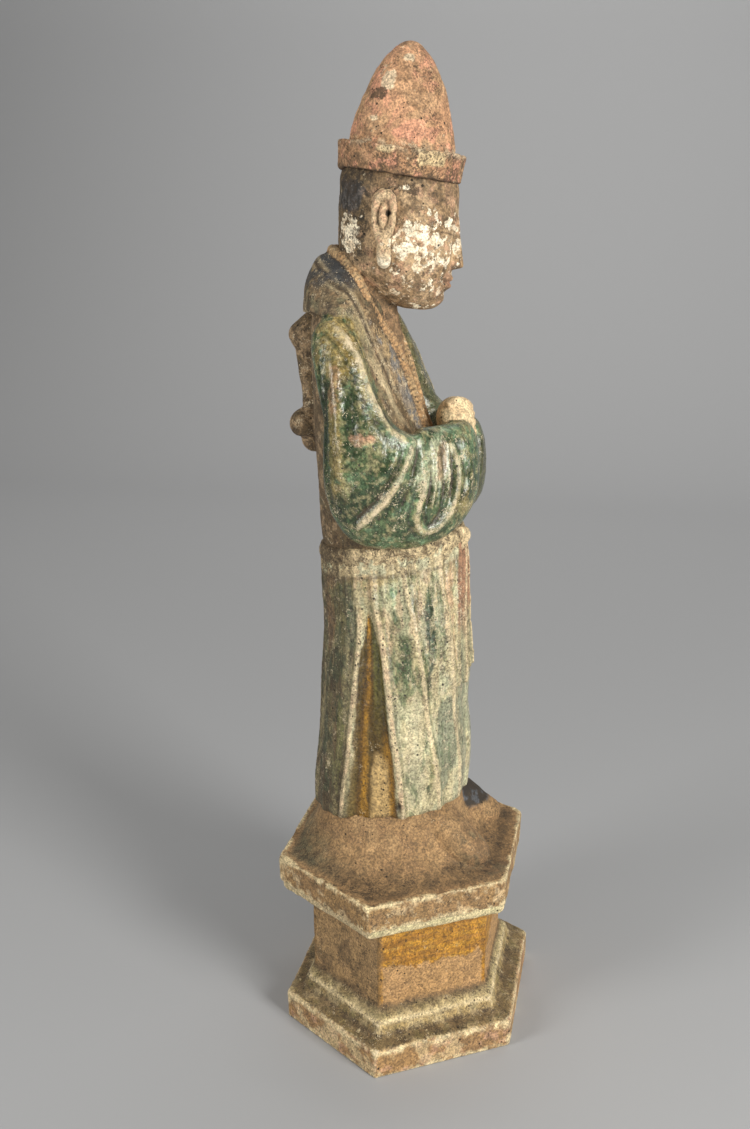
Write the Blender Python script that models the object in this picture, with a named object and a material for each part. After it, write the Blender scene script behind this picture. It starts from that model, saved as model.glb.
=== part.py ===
"""A glazed tomb figure: an attendant in a long robe and a tall hat on a hexagonal plinth.

It is one fired piece of clay, so it is one solid. Metres, +Z up. The figure faces -Y,
and the origin is on the ground under the middle of the plinth.
"""

import math

import bmesh
import bpy
import numpy as np

# Plinth: hexagons with a flat edge at the front and the back and a corner at each side
BASE_HALF_WIDTH = 0.1002
BASE_HALF_DEPTH = 0.0731
BASE_HALF_EDGE = 0.0513
BASE_MIDDLE = -0.0050
BASE_THICK = 0.0185
STEP_INSET = 0.0105
STEP_RISE = 0.0020
STEP_THICK = 0.0075
STEP_TAPER = 0.0020
WAIST_SLOPE = 0.0050
WAIST_HALF_WIDTH = 0.0750
WAIST_HALF_DEPTH = 0.0565
WAIST_HALF_EDGE = 0.0370
WAIST_MIDDLE = -0.0030
WAIST_HEIGHT = 0.0545
BAND_OUTSET = 0.0145
BAND_THICK = 0.0090
SLAB_HALF_WIDTH = 0.0956
SLAB_HALF_DEPTH = 0.0724
SLAB_HALF_EDGE = 0.0472
SLAB_MIDDLE = -0.0001
SLAB_THICK = 0.0173
SIDE_CORNER_BACK = 0.0040

# The figure is measured in units: its height over the slab is FIGURE_UNITS of them
FIGURE_HEIGHT = 0.4860
FIGURE_UNITS = 486.0
UNIT = FIGURE_HEIGHT / FIGURE_UNITS

# The origin lies halfway between the plinth's front and back
ORIGIN_SHIFT = -(BASE_MIDDLE - BASE_HALF_DEPTH + SLAB_MIDDLE + SLAB_HALF_DEPTH) / 2
SLAB_TOP = BASE_THICK + STEP_RISE + STEP_THICK + WAIST_SLOPE + WAIST_HEIGHT + BAND_THICK + SLAB_THICK

# Heights over the slab, in units
HEM = 33.0
HEM_SLOPE = -0.12
BELT_LOW = 196.0
BELT_HIGH = 206.0
BELT_SLOPE = -0.135
BELT_SWELL = 2.2
WAIST_BACK = 7.8
YOKE_LOW = 190.0
BRIM_LOW = 414.5
BRIM_HIGH = 430.0
HAT_TIP = FIGURE_UNITS

# How finely each form is divided: round it, then along it
SKIRT_SPACING = 6.5
SKIRT_CUTS = 10
MOUND_CUTS = (26, 6)
SHOE_CUTS = (10, 8)
BELT_CUTS = (28, 4)
TORSO_CUTS = (22, 9)
SLEEVE_CUTS = (18, 20)
SHAWL_CUTS = 21
CORD_CUTS = (5, 29)
NECK_CUTS = (14, 6)
HEAD_CUTS = (26, 18)
EAR_CUTS = (8, 8)
HAT_CUTS = 26
HANDS_CUTS = (14, 10)
RIBBON_CUTS = 7
SASH_CUTS = 9

# Edges that turn more than this are shaded as creases
CREASE_ANGLE = math.radians(38.0)

NAME = "sancai_attendant_figure"


# Small helpers

def ease(low, high, value):
    """A soft step from 0 at low to 1 at high."""
    t = np.clip((np.asarray(value, float) - low) / (high - low), 0.0, 1.0)
    return t * t * (3.0 - 2.0 * t)


def bump(distance, width):
    """A round hill, 1 high in its middle."""
    return np.exp(-((np.asarray(distance, float) / width) ** 2))


def smooth_rows(keys, count):
    """Rows read from a smooth curve through the key rows, evenly in the keys' number."""
    keys = np.asarray(keys, float)
    last = len(keys) - 1
    t = np.linspace(0.0, last, count)
    low = np.clip(np.floor(t).astype(int), 0, last - 1)
    f = (t - low)[:, None]
    slope = np.gradient(keys, axis=0)
    a = keys[low]
    b = keys[low + 1]
    return (
        (2 * f**3 - 3 * f**2 + 1) * a
        + (f**3 - 2 * f**2 + f) * slope[low]
        + (3 * f**2 - 2 * f**3) * b
        + (f**3 - f**2) * slope[low + 1]
    )


def rows_at(keys, heights):
    """Rows read at the given heights, where each key row starts with its height."""
    keys = np.asarray(keys, float)
    order = np.argsort(keys[:, 0])
    keys = keys[order]
    fine = smooth_rows(keys, 40 * len(keys))
    return np.stack([np.interp(heights, fine[:, 0], fine[:, c]) for c in range(1, keys.shape[1])], -1)


def turn(count):
    """Angles once round, in degrees: 0 at the front, 90 at the figure's right."""
    return np.arange(count) * 360.0 / count


def oval(angles, fullness=2.0):
    """Sideways and backward shares of an oval at the angles; above 2 it is fuller."""
    a = np.radians(angles)
    s = -np.sin(a)
    c = -np.cos(a)
    p = 2.0 / fullness
    return np.sign(s) * np.abs(s) ** p, np.sign(c) * np.abs(c) ** p


def wrapped(angle):
    """An angle in degrees brought to between -180 and 180."""
    return (np.asarray(angle, float) + 180.0) % 360.0 - 180.0


# Forms of the figure, each a stack of rings of points in units

# Skirt rings: height, front, back, half width
SKIRT = (
    (26.0, -40.0, 57.0, 49.0),
    (51.0, -42.2, 57.2, 49.0),
    (72.0, -42.0, 54.7, 48.6),
    (93.0, -40.2, 53.0, 48.0),
    (124.0, -41.4, 51.8, 47.0),
    (154.0, -39.3, 49.6, 45.4),
    (176.0, -37.2, 51.0, 44.2),
    (192.0, -36.2, 51.2, 43.6),
    (206.0, -34.8, 51.2, 43.0),
)

# Skirt folds: angle at the hem, angle at the belt, height at the hem, height at the belt, width
SIDE_FOLDS = (
    (117.0, 104.0, 1.9, 0.9, 4.2),
    (72.5, 96.0, 2.4, 1.0, 4.0),
    (44.0, 73.0, 2.1, 1.2, 6.0),
    (20.0, 42.0, 0.4, 1.8, 6.0),
    (34.0, 52.0, -1.7, -0.4, 4.0),
    (125.0, 119.0, 1.2, 0.5, 3.6),
    (139.0, 133.0, 1.1, 0.6, 6.0),
)
BACK_FOLDS = (
    (160.0, 163.0, 1.4, 0.5, 7.0),
    (180.0, 180.0, -0.9, -0.2, 5.0),
    (201.0, 196.0, 1.3, 0.5, 7.0),
)
SLIT_REAR = (117.0, 104.0)
SLIT_FRONT = (72.5, 96.0)
SLIT_DEPTH = 3.0
FRONT_LAP = (2.0, 7.0)
FRONT_LAP_STEP = 1.6


def fold_lines():
    """The angles of every fold line at the hem and at the belt, once round."""
    lines = [FRONT_LAP]
    for fold in SIDE_FOLDS:
        lines += [(fold[0], fold[1]), (360.0 - fold[0], 360.0 - fold[1])]
    for fold in BACK_FOLDS:
        lines.append((fold[0], fold[1]))
    return sorted(lines, key=sum)


def skirt_columns(spacing):
    """Places round the skirt: one on every fold line, and others evenly between them."""
    middles = [(low + high) / 2 for low, high in fold_lines()]
    places = []
    for first, last in zip(middles, middles[1:] + [middles[0] + 360.0]):
        parts = max(1, round((last - first) / spacing))
        places += list(first + (last - first) * np.arange(parts) / parts)
    return np.array(places)


def share_down(height):
    """0 at the belt and 1 at the hem."""
    return 1.0 - np.clip((height - HEM) / (YOKE_LOW - HEM), 0.0, 1.0)


def skirt_angles(columns, height):
    """The angle of each column at one height; the columns lean with the folds."""
    lines = np.array(fold_lines())
    middles = lines.mean(axis=1)
    here = lines[:, 1] + (lines[:, 0] - lines[:, 1]) * share_down(height)
    return columns + np.interp(columns, middles, here - middles, period=360.0)


def skirt_relief(angles, height):
    """How far the folds stand out of the skirt at the angles, at one height."""
    down = share_down(height)
    out = np.zeros(len(angles))
    for side in (1.0, -1.0):
        for low, high, tall_low, tall_high, width in SIDE_FOLDS:
            middle = side * (high + (low - high) * down)
            tall = tall_high + (tall_low - tall_high) * down
            out += tall * bump(wrapped(angles - middle), width)
        rear = side * (SLIT_REAR[1] + (SLIT_REAR[0] - SLIT_REAR[1]) * down)
        front = side * (SLIT_FRONT[1] + (SLIT_FRONT[0] - SLIT_FRONT[1]) * down)
        half = abs(rear - front) / 2
        off = np.abs(wrapped(angles - (rear + front) / 2))
        out -= SLIT_DEPTH * (0.35 + 0.65 * down) * (1.0 - ease(half - 6.0, half - 1.0, off))
    for low, high, tall_low, tall_high, width in BACK_FOLDS:
        middle = high + (low - high) * down
        tall = tall_high + (tall_low - tall_high) * down
        out += tall * bump(wrapped(angles - middle), width)
    lap = wrapped(angles - (FRONT_LAP[1] + (FRONT_LAP[0] - FRONT_LAP[1]) * down))
    out -= FRONT_LAP_STEP * ease(-1.5, 1.5, lap) * (1.0 - ease(4.0, 16.0, lap))
    return out


def skirt_rings(spacing, along):
    columns = skirt_columns(spacing)
    rings = []
    for share in np.linspace(0.0, 1.0, along) ** 0.9:
        middle_height = HEM + (BELT_HIGH - 2.0 - HEM) * share
        angles = skirt_angles(columns, middle_height)
        across, back = oval(angles, 2.15)
        front, rear, half = rows_at(SKIRT, middle_height)
        relief = skirt_relief(angles, middle_height)
        x = across * half
        y = (front + rear) / 2 + back * (rear - front) / 2
        length = np.hypot(across, back)
        x = x + relief * across / length
        y = y + relief * back / length
        tilt = HEM_SLOPE + (BELT_SLOPE - HEM_SLOPE) * share
        z = middle_height + tilt * (y - (front + rear) / 2)
        rings.append(np.stack([x, y, z], -1))
    return np.array(rings)


# The clay under the hem: height, front, back, half width
MOUND = (
    (-3.0, -60.0, 68.0, 77.0),
    (0.5, -58.5, 67.5, 75.0),
    (2.0, -55.0, 66.5, 70.0),
    (5.0, -49.5, 64.5, 64.0),
    (11.0, -44.0, 60.0, 56.0),
    (19.0, -39.5, 56.5, 50.0),
    (28.0, -37.0, 54.0, 46.0),
    (50.0, -35.0, 52.0, 43.5),
)


def mound_rings(around, along):
    across, back = oval(turn(around), 2.2)
    rings = []
    for share in np.linspace(0.0, 1.0, along):
        height = MOUND[0][0] + (MOUND[-1][0] - MOUND[0][0]) * share**1.6
        front, rear, half = rows_at(MOUND, height)
        x = across * half
        y = (front + rear) / 2 + back * (rear - front) / 2
        rings.append(np.stack([x, y, np.full(around, height)], -1))
    return np.array(rings)


# Shoe sections from heel to toe: middle sideways, backward, height, half width, half height
SHOE = (
    (18.0, 0.0, 20.0, 12.0, 22.0),
    (20.0, -14.0, 19.0, 14.5, 22.0),
    (22.5, -28.0, 17.0, 15.5, 21.0),
    (25.0, -39.0, 12.5, 15.5, 16.5),
    (27.0, -49.0, 8.5, 13.5, 11.5),
    (28.5, -56.5, 7.5, 9.0, 7.0),
    (29.0, -60.0, 8.0, 2.5, 2.5),
)


def shoe_rings(side, around, along):
    across, up = oval(turn(around), 2.2)
    rows = smooth_rows(SHOE, along)
    rings = []
    for x, y, z, half_wide, half_tall in rows:
        ring = np.stack([x + across * half_wide, np.full(around, y), z + up * half_tall], -1)
        rings.append(ring * (side, 1.0, 1.0))
    return np.array(rings)


# Torso rings: height, front, back, half width
TORSO = (
    (186.0, -27.0, 43.0, 36.0),
    (199.0, -31.5, 49.8, 41.0),
    (210.0, -32.0, 51.6, 43.2),
    (231.0, -26.0, 52.2, 45.0),
    (261.0, -13.0, 53.0, 47.5),
    (286.0, -3.0, 53.5, 49.0),
    (306.0, 4.5, 54.0, 48.5),
    (322.0, 8.0, 54.5, 46.0),
    (334.0, 10.0, 54.5, 39.0),
    (344.0, 11.0, 53.5, 31.0),
    (356.0, 16.0, 50.0, 22.0),
)


def torso_rings(around, along):
    across, back = oval(turn(around), 2.15)
    rings = []
    for height in np.linspace(TORSO[0][0], TORSO[-1][0], along):
        front, rear, half = rows_at(TORSO, height)
        x = across * half
        y = (front + rear) / 2 + back * (rear - front) / 2
        rings.append(np.stack([x, y, np.full(around, height)], -1))
    return np.array(rings)


def belt_rings(around, along):
    """A flat band round the waist, swelling a little at mid height."""
    across, back = oval(turn(around), 2.15)
    rings = []
    for share in np.linspace(0.0, 1.0, along):
        height = BELT_LOW + (BELT_HIGH - BELT_LOW) * share
        front, rear, half = rows_at(SKIRT, min(height, SKIRT[-1][0]))
        out = BELT_SWELL * math.sin(math.pi * (0.12 + 0.76 * share)) - 0.4
        x = across * (half + out)
        y = (front + rear) / 2 + back * ((rear - front) / 2 + out)
        rings.append(np.stack([x, y, height + BELT_SLOPE * (y - WAIST_BACK)], -1))
    return np.array(rings)


# Sleeve sections from the shoulder to the cuff: the middle, the way of the long half axis,
# both half axes and the way of the short one
SLEEVE = (
    (38.0, 31.0, 334.0, -0.2, 1.0, 0.1, 10.0, 8.0, 0.7, 0.1, 0.7),
    (45.0, 30.5, 323.0, -0.1, 1.0, 0.1, 15.0, 11.5, 0.9, 0.1, 0.4),
    (50.5, 25.0, 304.0, 0.0, 1.0, 0.1, 16.5, 14.5, 1.0, 0.1, 0.1),
    (54.0, 17.5, 281.0, 0.0, 1.0, -0.1, 18.5, 16.5, 1.0, 0.0, 0.0),
    (54.0, 11.5, 257.5, 0.1, 1.0, -0.75, 29.5, 17.5, 1.0, -0.1, 0.1),
    (50.0, 2.0, 245.0, 0.1, 0.62, -1.0, 37.5, 17.0, 0.9, -0.35, 0.0),
    (43.0, -11.0, 242.0, 0.1, 0.22, -1.0, 36.0, 16.0, 0.75, -0.6, 0.0),
    (33.0, -23.5, 243.0, 0.1, 0.0, -1.0, 33.5, 14.5, 0.65, -0.75, 0.0),
    (22.0, -33.0, 247.0, 0.1, -0.05, -1.0, 30.5, 13.0, 0.6, -0.8, 0.0),
    (11.5, -38.0, 251.0, 0.0, -0.05, -1.0, 26.0, 11.0, 0.6, -0.8, 0.0),
    (4.5, -40.5, 253.0, 0.0, 0.0, -1.0, 19.0, 7.0, 0.6, -0.8, 0.0),
)

# Sleeve folds: place along the sleeve from 0 to 1, lean with the angle, height, width
SLEEVE_FOLDS = (
    (0.50, 0.030, 2.2, 0.024),
    (0.575, 0.015, -1.8, 0.024),
    (0.645, 0.020, 2.0, 0.024),
    (0.715, 0.010, -2.0, 0.022),
    (0.80, 0.020, 2.4, 0.026),
    (0.875, 0.0, -1.6, 0.022),
)
SHOULDER_FOLD = (62.0, 1.7, 14.0)
LEFT_ARM_FORWARD = 9.0


def sleeve_rings(side, around, along):
    rows = smooth_rows(SLEEVE, along)
    places = np.linspace(0.0, 1.0, along)
    angles = turn(around)
    rings = []
    for row, place in zip(rows, places):
        middle = row[0:3].copy()
        if side > 0:
            middle[1] -= LEFT_ARM_FORWARD * (1.0 - ease(0.25, 0.6, place))
        long_way = row[3:6] / np.linalg.norm(row[3:6])
        thick_way = row[8:11] - np.dot(row[8:11], long_way) * long_way
        thick_way /= np.linalg.norm(thick_way)
        a = np.radians(angles)
        relief = np.zeros(around)
        for at, lean, tall, width in SLEEVE_FOLDS:
            outer = ease(-0.9, 0.2, np.sin(a))
            relief += tall * outer * bump(place - at - lean * np.cos(a), width)
        at, tall, wide = SHOULDER_FOLD
        relief += tall * bump(wrapped(angles - at), wide) * (1.0 - ease(0.30, 0.45, place))
        p = 2.0 / 2.2
        along_share = -np.sign(np.cos(a)) * np.abs(np.cos(a)) ** p * (row[6] + relief)
        thick_share = np.sign(np.sin(a)) * np.abs(np.sin(a)) ** p * (row[7] + relief)
        ring = middle + along_share[:, None] * long_way + thick_share[:, None] * thick_way
        rings.append(ring * (side, 1.0, 1.0))
    return np.array(rings)


# Shawl collar from the nape to its end under the hands: inner edge, crease, outer edge
SHAWL = (
    (0.0, 43.0, 373.0, 0.0, 54.0, 368.5, 0.0, 59.3, 340.0),
    (8.0, 39.3, 372.5, 15.0, 48.0, 364.0, 17.0, 57.5, 339.0),
    (17.0, 29.3, 366.0, 28.0, 35.5, 355.0, 33.0, 47.5, 339.5),
    (20.5, 22.5, 355.5, 33.5, 25.5, 349.0, 46.0, 33.0, 335.0),
    (17.0, 17.4, 341.5, 33.0, 17.5, 333.0, 47.0, 24.0, 328.0),
    (12.5, 10.0, 328.5, 30.5, 12.0, 318.0, 46.5, 16.0, 315.0),
    (8.5, 2.0, 312.5, 27.0, 6.5, 305.0, 44.5, 8.5, 302.0),
    (6.0, -4.0, 295.0, 21.0, 2.0, 289.0, 37.0, 0.5, 286.0),
    (4.0, -8.8, 280.0, 12.5, -4.0, 275.0, 23.0, -8.0, 271.0),
    (3.0, -15.0, 264.0, 7.0, -12.0, 259.0, 11.0, -12.0, 255.0),
)
SHAWL_THICK = 14.0


def shawl_line(keys, count):
    """The key rows on both sides of the nape, read smoothly from one end to the other."""
    half = np.asarray(keys, float)
    mirror = half[:0:-1].copy()
    mirror[:, 0::3] *= -1.0
    return smooth_rows(np.vstack([mirror, half]), count)


def inward(points):
    """The way from each point towards the body's middle line."""
    way = np.stack([-points[:, 0], 22.0 - points[:, 1], np.full(len(points), -6.0)], -1)
    return way / np.linalg.norm(way, axis=1)[:, None]


def between(first, last, count, swell):
    """Points from first to last that bow outward by swell halfway."""
    t = np.linspace(0.0, 1.0, count)[:, None]
    line = first * (1.0 - t) + last * t
    return line - inward(line) * swell * np.sin(np.pi * t)


def shawl_rings(along, cuts=3):
    rings = []
    for row in shawl_line(SHAWL, along):
        inner, crease, outer = row[0:3], row[3:6], row[6:9]
        upper = between(inner, crease, cuts + 1, 2.0)
        lower = between(crease, outer, cuts + 2, 3.2)
        front = np.vstack([upper, lower[1:]])
        edge = np.array([inner, outer])
        deep = edge + inward(edge) * SHAWL_THICK
        rings.append(np.vstack([front, deep[1], deep[0]]))
    return np.array(rings)


CORD_RADIUS = 2.3


def cord_line(count):
    """The cord lies on the shawl's inner edge."""
    line = shawl_line(np.asarray(SHAWL)[:, 0:3], count)
    return line - inward(line) * 0.9 + (0.0, 0.0, 0.4)


def tube_rings(line, radii, around):
    """Rings round a line of points, without twist."""
    way = np.gradient(line, axis=0)
    way /= np.linalg.norm(way, axis=1)[:, None]
    side = np.cross(way[0], (0.0, 0.0, 1.0))
    rings = []
    for point, forward, radius in zip(line, way, radii):
        side = side - np.dot(side, forward) * forward
        side /= np.linalg.norm(side)
        up = np.cross(side, forward)
        a = np.radians(turn(around))[:, None]
        rings.append(point + radius * (np.cos(a) * side + np.sin(a) * up))
    return np.array(rings)


# Neck rings: height, front, back, half width
NECK = (
    (280.0, -6.0, 40.0, 5.0),
    (296.0, -2.5, 40.0, 7.0),
    (312.0, 0.0, 40.0, 9.5),
    (323.0, 1.0, 42.0, 13.5),
    (334.0, 2.8, 42.0, 17.5),
    (346.0, 5.0, 41.0, 20.0),
    (362.0, 4.0, 40.0, 21.0),
)


def neck_rings(around, along):
    across, back = oval(turn(around))
    rings = []
    for height in np.linspace(NECK[0][0], NECK[-1][0], along):
        front, rear, half = rows_at(NECK, height)
        y = (front + rear) / 2 + back * (rear - front) / 2
        rings.append(np.stack([across * half, y, np.full(around, height)], -1))
    return np.array(rings)


# Head, measured from its own middle: height, half width, front, back
HEAD_MIDDLE = (0.0, 4.0, 384.5)
HEAD_TILT = math.radians(7.0)
HEAD_TOP = 46.0
HEAD = (
    (-42.5, 5.5, -20.0, -7.0),
    (-41.0, 10.5, -24.5, 0.0),
    (-37.0, 16.5, -28.0, 10.0),
    (-31.0, 22.0, -30.5, 20.0),
    (-23.0, 27.0, -32.0, 29.0),
    (-12.0, 30.0, -33.0, 34.0),
    (2.0, 31.0, -33.5, 35.5),
    (16.0, 31.0, -32.5, 36.5),
    (30.0, 29.5, -30.0, 36.0),
    (40.0, 21.0, -20.0, 26.0),
    (HEAD_TOP, 6.0, -5.0, 8.0),
)
CHIN_LEVEL = HEAD[0][0]

# A plain face by the drawing-book rules: the eyes lie halfway up the head, the nose ends
# halfway from the brows to the chin, and the mouth lies a third of the way below it
EYE_LEVEL = (HEAD_TOP + CHIN_LEVEL) / 2
EYE_WIDTH = 2 * 31.0 / 5
EYE_APART = EYE_WIDTH
BROW_LEVEL = EYE_LEVEL + 0.62 * EYE_WIDTH
NOSE_LEVEL = (BROW_LEVEL + CHIN_LEVEL) / 2
MOUTH_LEVEL = NOSE_LEVEL + (CHIN_LEVEL - NOSE_LEVEL) / 3
NOSE_OUT = 7.5


def face_relief(x, level):
    """How far the face stands forward of the plain head, at x and a height on the head."""
    nose_share = np.clip((BROW_LEVEL - level) / (BROW_LEVEL - NOSE_LEVEL), 0.0, 1.0)
    nose_half = 2.6 + 3.0 * nose_share**2
    below = 1.0 - ease(0.0, 4.5, NOSE_LEVEL + 1.5 - level)
    out = NOSE_OUT * (0.15 + 0.85 * nose_share**1.3) * bump(x, nose_half) * below
    out *= 1.0 - ease(BROW_LEVEL - 2.0, BROW_LEVEL + 5.0, level)
    side = np.abs(x)
    eye = EYE_APART
    out += 2.4 * bump(side - 5.4, 2.0) * bump(level - NOSE_LEVEL - 2.0, 2.6)
    out -= 2.8 * bump((side - eye + 1.0) / 7.0, 1.0) * bump(level - EYE_LEVEL - 1.0, 4.6)
    out += 2.5 * bump((side - eye) / 5.4, 1.0) * bump(level - EYE_LEVEL, 3.1)
    brow = level - BROW_LEVEL - 0.6 + 0.03 * (side - eye) ** 2
    out += 1.3 * bump((side - eye) / 8.5, 1.0) * bump(brow, 2.2)
    out += 1.8 * bump(side - 15.0, 8.0) * bump(level - NOSE_LEVEL - 3.0, 8.0)
    lips = bump(x, 9.5)
    out += 1.0 * bump(x, 13.0) * bump(level - MOUTH_LEVEL, 7.0)
    out += 1.7 * lips * bump(level - MOUTH_LEVEL - 2.3, 1.9)
    out += 1.9 * bump(x, 7.5) * bump(level - MOUTH_LEVEL + 2.7, 2.1)
    out -= 0.9 * bump(x, 9.0) * bump(level - MOUTH_LEVEL, 0.9)
    out -= 1.0 * bump(x, 7.0) * bump(level - MOUTH_LEVEL + 6.6, 2.2)
    out += 1.8 * bump(x, 8.0) * bump(level - CHIN_LEVEL - 6.0, 4.5)
    return out


def place_on_head(points):
    """Turns points from the head's own measure to the figure's."""
    x, y, z = points[..., 0], points[..., 1], points[..., 2]
    c, s = math.cos(HEAD_TILT), math.sin(HEAD_TILT)
    turned = np.stack([x, y * c - z * s, z * c + y * s], -1)
    return turned + HEAD_MIDDLE


def head_rings(around, along):
    """Rings up the head, closer together round the face."""
    even = turn(around)
    angles = even - 22.0 * np.sin(np.radians(even))
    rings = []
    for level in np.linspace(CHIN_LEVEL, HEAD_TOP, along):
        half, front, rear = rows_at(HEAD, level)
        across, back = oval(angles, 2.1)
        x = across * half
        y = (front + rear) / 2 + back * (rear - front) / 2
        facing = ease(0.15, 0.75, -back)
        y = y - face_relief(x, level) * facing
        rings.append(np.stack([x, y, np.full(around, level)], -1))
    return place_on_head(np.array(rings))


# Ear sections from the top down to the long lobe, on the head: out, back, height,
# half thickness, half depth
EAR = (
    (29.5, 5.0, 21.0, 1.5, 2.5),
    (31.0, 4.6, 17.5, 3.2, 7.0),
    (32.2, 3.8, 9.5, 3.8, 8.6),
    (32.4, 2.6, -0.5, 3.6, 7.0),
    (31.6, 1.4, -9.5, 3.2, 4.8),
    (30.2, 0.6, -17.0, 3.4, 4.4),
    (29.0, 0.4, -22.5, 3.0, 3.6),
    (28.5, 0.2, -25.0, 1.2, 1.4),
)


def ear_rings(side, around, along):
    a = np.radians(turn(around))
    rings = []
    for out, back, level, thick, deep in smooth_rows(EAR, along):
        x = side * (out + thick * np.cos(a))
        y = back + deep * np.sin(a)
        rings.append(np.stack([x, y, np.full(around, level)], -1))
    return place_on_head(np.array(rings))


# Hat profile: radius and height over the brim's lower edge, from inside the head up
BRIM_RADIUS_LOW = 34.6
BRIM_RADIUS_HIGH = 36.6
BRIM_WALL = 3.4
CROWN_RADIUS = 30.5
HAT_LEAN = 0.075
HAT_TILT = math.radians(8.2)
HAT_BACK = 3.4


def hat_profile(steps):
    """The brim's band, the groove behind it and the crown, which is a pointed arch."""
    tall = BRIM_HIGH - BRIM_LOW
    points = [(BRIM_RADIUS_LOW - 9.0, 2.0), (BRIM_RADIUS_LOW - 1.0, 0.0), (BRIM_RADIUS_LOW, 0.9)]
    points += [(BRIM_RADIUS_HIGH, tall - 1.0), (BRIM_RADIUS_HIGH - 0.8, tall)]
    points += [(BRIM_RADIUS_HIGH - BRIM_WALL, tall - 0.3), (CROWN_RADIUS + 0.3, tall - 3.0)]
    crown_foot = tall - 3.0
    crown_tall = HAT_TIP - BRIM_LOW - crown_foot
    for step in range(1, steps):
        share = math.sin(math.pi / 2 * step / (steps - 0.6))
        round_share = math.sqrt(max(0.0, 1.0 - share**1.75))
        radius = CROWN_RADIUS * (0.80 * round_share + 0.20 * (1.0 - share))
        points.append((radius, crown_foot + crown_tall * share))
    points.append((0.8, crown_foot + crown_tall))
    return points


def hat_rings(around, steps):
    a = np.radians(turn(around))
    rings = []
    for radius, over in hat_profile(steps):
        x = -radius * np.sin(a)
        level = max(0.0, 1.0 - (over / (HAT_TIP - BRIM_LOW)) ** 2)
        y = HAT_BACK - HAT_LEAN * over - radius * np.cos(a)
        z = BRIM_LOW + over + math.tan(HAT_TILT) * level * (y - HAT_BACK)
        rings.append(np.stack([x, y, z], -1))
    return np.array(rings)


# Clasped hands: the middle and the half sizes
HANDS_MIDDLE = (0.0, -30.5, 276.0)
HANDS_HALF = (16.0, 11.5, 13.5)
FINGER_PITCH = 5.2


def hands_rings(around, along):
    """A rounded lump, with the ridges of the upper hand's fingers across its front."""
    a = np.radians(turn(around))
    rings = []
    for share in np.linspace(-0.985, 0.985, along):
        size = math.sqrt(1.0 - share**2) ** 0.8
        x = HANDS_MIDDLE[0] + HANDS_HALF[0] * share
        forward = np.cos(a)
        ridge = 0.7 * np.cos(2 * math.pi * (HANDS_HALF[2] * np.sin(a) * size + 1.5 * share) / FINGER_PITCH)
        out = size + ridge / HANDS_HALF[1] * ease(0.0, 0.6, forward) * ease(-0.8, -0.2, share)
        y = HANDS_MIDDLE[1] - HANDS_HALF[1] * out * forward
        z = HANDS_MIDDLE[2] + HANDS_HALF[2] * size * np.sin(a)
        rings.append(np.stack([np.full(around, x), y, z + 0.12 * (y - HANDS_MIDDLE[1])], -1))
    return np.array(rings)


# Ribbons from the belt's knot: sideways at the top and the end, top and end height,
# half width and how far they stand out of the skirt
RIBBONS = ((-8.5, -20.0, 203.0, 116.0, 4.8, 2.9), (-0.5, -5.0, 201.5, 123.0, 4.6, 2.2))
KNOT = (-6.5, -36.0, 206.5)
KNOT_HALF = (9.5, 4.8, 6.0)


def ribbon_rings(ribbon, along):
    """A flat strip that lies down the front of the skirt."""
    top_x, end_x, top_height, end_height, half, thick = ribbon
    rings = []
    for share in np.linspace(0.0, 1.0, along):
        height = top_height + (end_height - top_height) * share
        x = top_x + (end_x - top_x) * share**0.8
        front, rear, wide = rows_at(SKIRT, min(height, SKIRT[-1][0]))
        sides = np.array([x - half, x, x + half])
        deep = (rear - front) / 2 * np.sqrt(1.0 - (sides / wide) ** 2)
        surface = (front + rear) / 2 - deep
        lift = thick + 0.6 * math.sin(7.0 * share)
        outer = np.stack([sides, surface - lift, np.full(3, height)], -1)
        inner = np.stack([sides, surface + 3.0 + 2.0 * thick, np.full(3, height)], -1)
        rings.append(np.vstack([outer, inner[::-1]]))
    return np.array(rings)


# Sash hanging down the back from the collar: height, how far back, half width, half thickness
SASH = (
    (337.0, 54.0, 4.0, 5.0),
    (331.5, 56.5, 8.5, 8.4),
    (323.0, 59.0, 11.0, 10.0),
    (313.5, 58.5, 10.0, 9.0),
    (308.0, 57.0, 9.0, 8.0),
    (298.0, 55.5, 10.0, 7.2),
    (287.0, 54.0, 11.0, 7.0),
    (276.0, 53.5, 12.0, 6.6),
)
BOW_MIDDLE = (0.0, 58.0, 269.0)
BOW_LOOP = (12.0, 9.5, 12.5)
BOW_KNOT = (6.5, 11.5, 9.0)
BOW_APART = 10.0
BOW_TAIL = (7.0, 55.0, 258.0)
BOW_TAIL_HALF = (6.0, 7.0, 10.0)


def sash_rings(around, along):
    across, back = oval(turn(around), 2.6)
    rings = []
    for height, rear, half, thick in smooth_rows(SASH, along):
        rings.append(np.stack([across * half, rear + back * thick, np.full(around, height)], -1))
    return np.array(rings)


def ball_rings(middle, half, around, along):
    """A ball with its own half size each way."""
    a = np.radians(turn(around))
    rings = []
    for rise in np.linspace(-0.5, 0.5, along + 2)[1:-1] * math.pi:
        x = half[0] * math.cos(rise) * np.sin(a)
        y = half[1] * math.cos(rise) * np.cos(a)
        z = np.full(around, half[2] * math.sin(rise))
        rings.append(np.stack([x, y, z], -1) + middle)
    return np.array(rings)


# Making solids from rings

def figure_place(rings):
    """Turns units to metres and stands the figure on the slab."""
    return rings * UNIT + (0.0, ORIGIN_SHIFT, SLAB_TOP)


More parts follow.
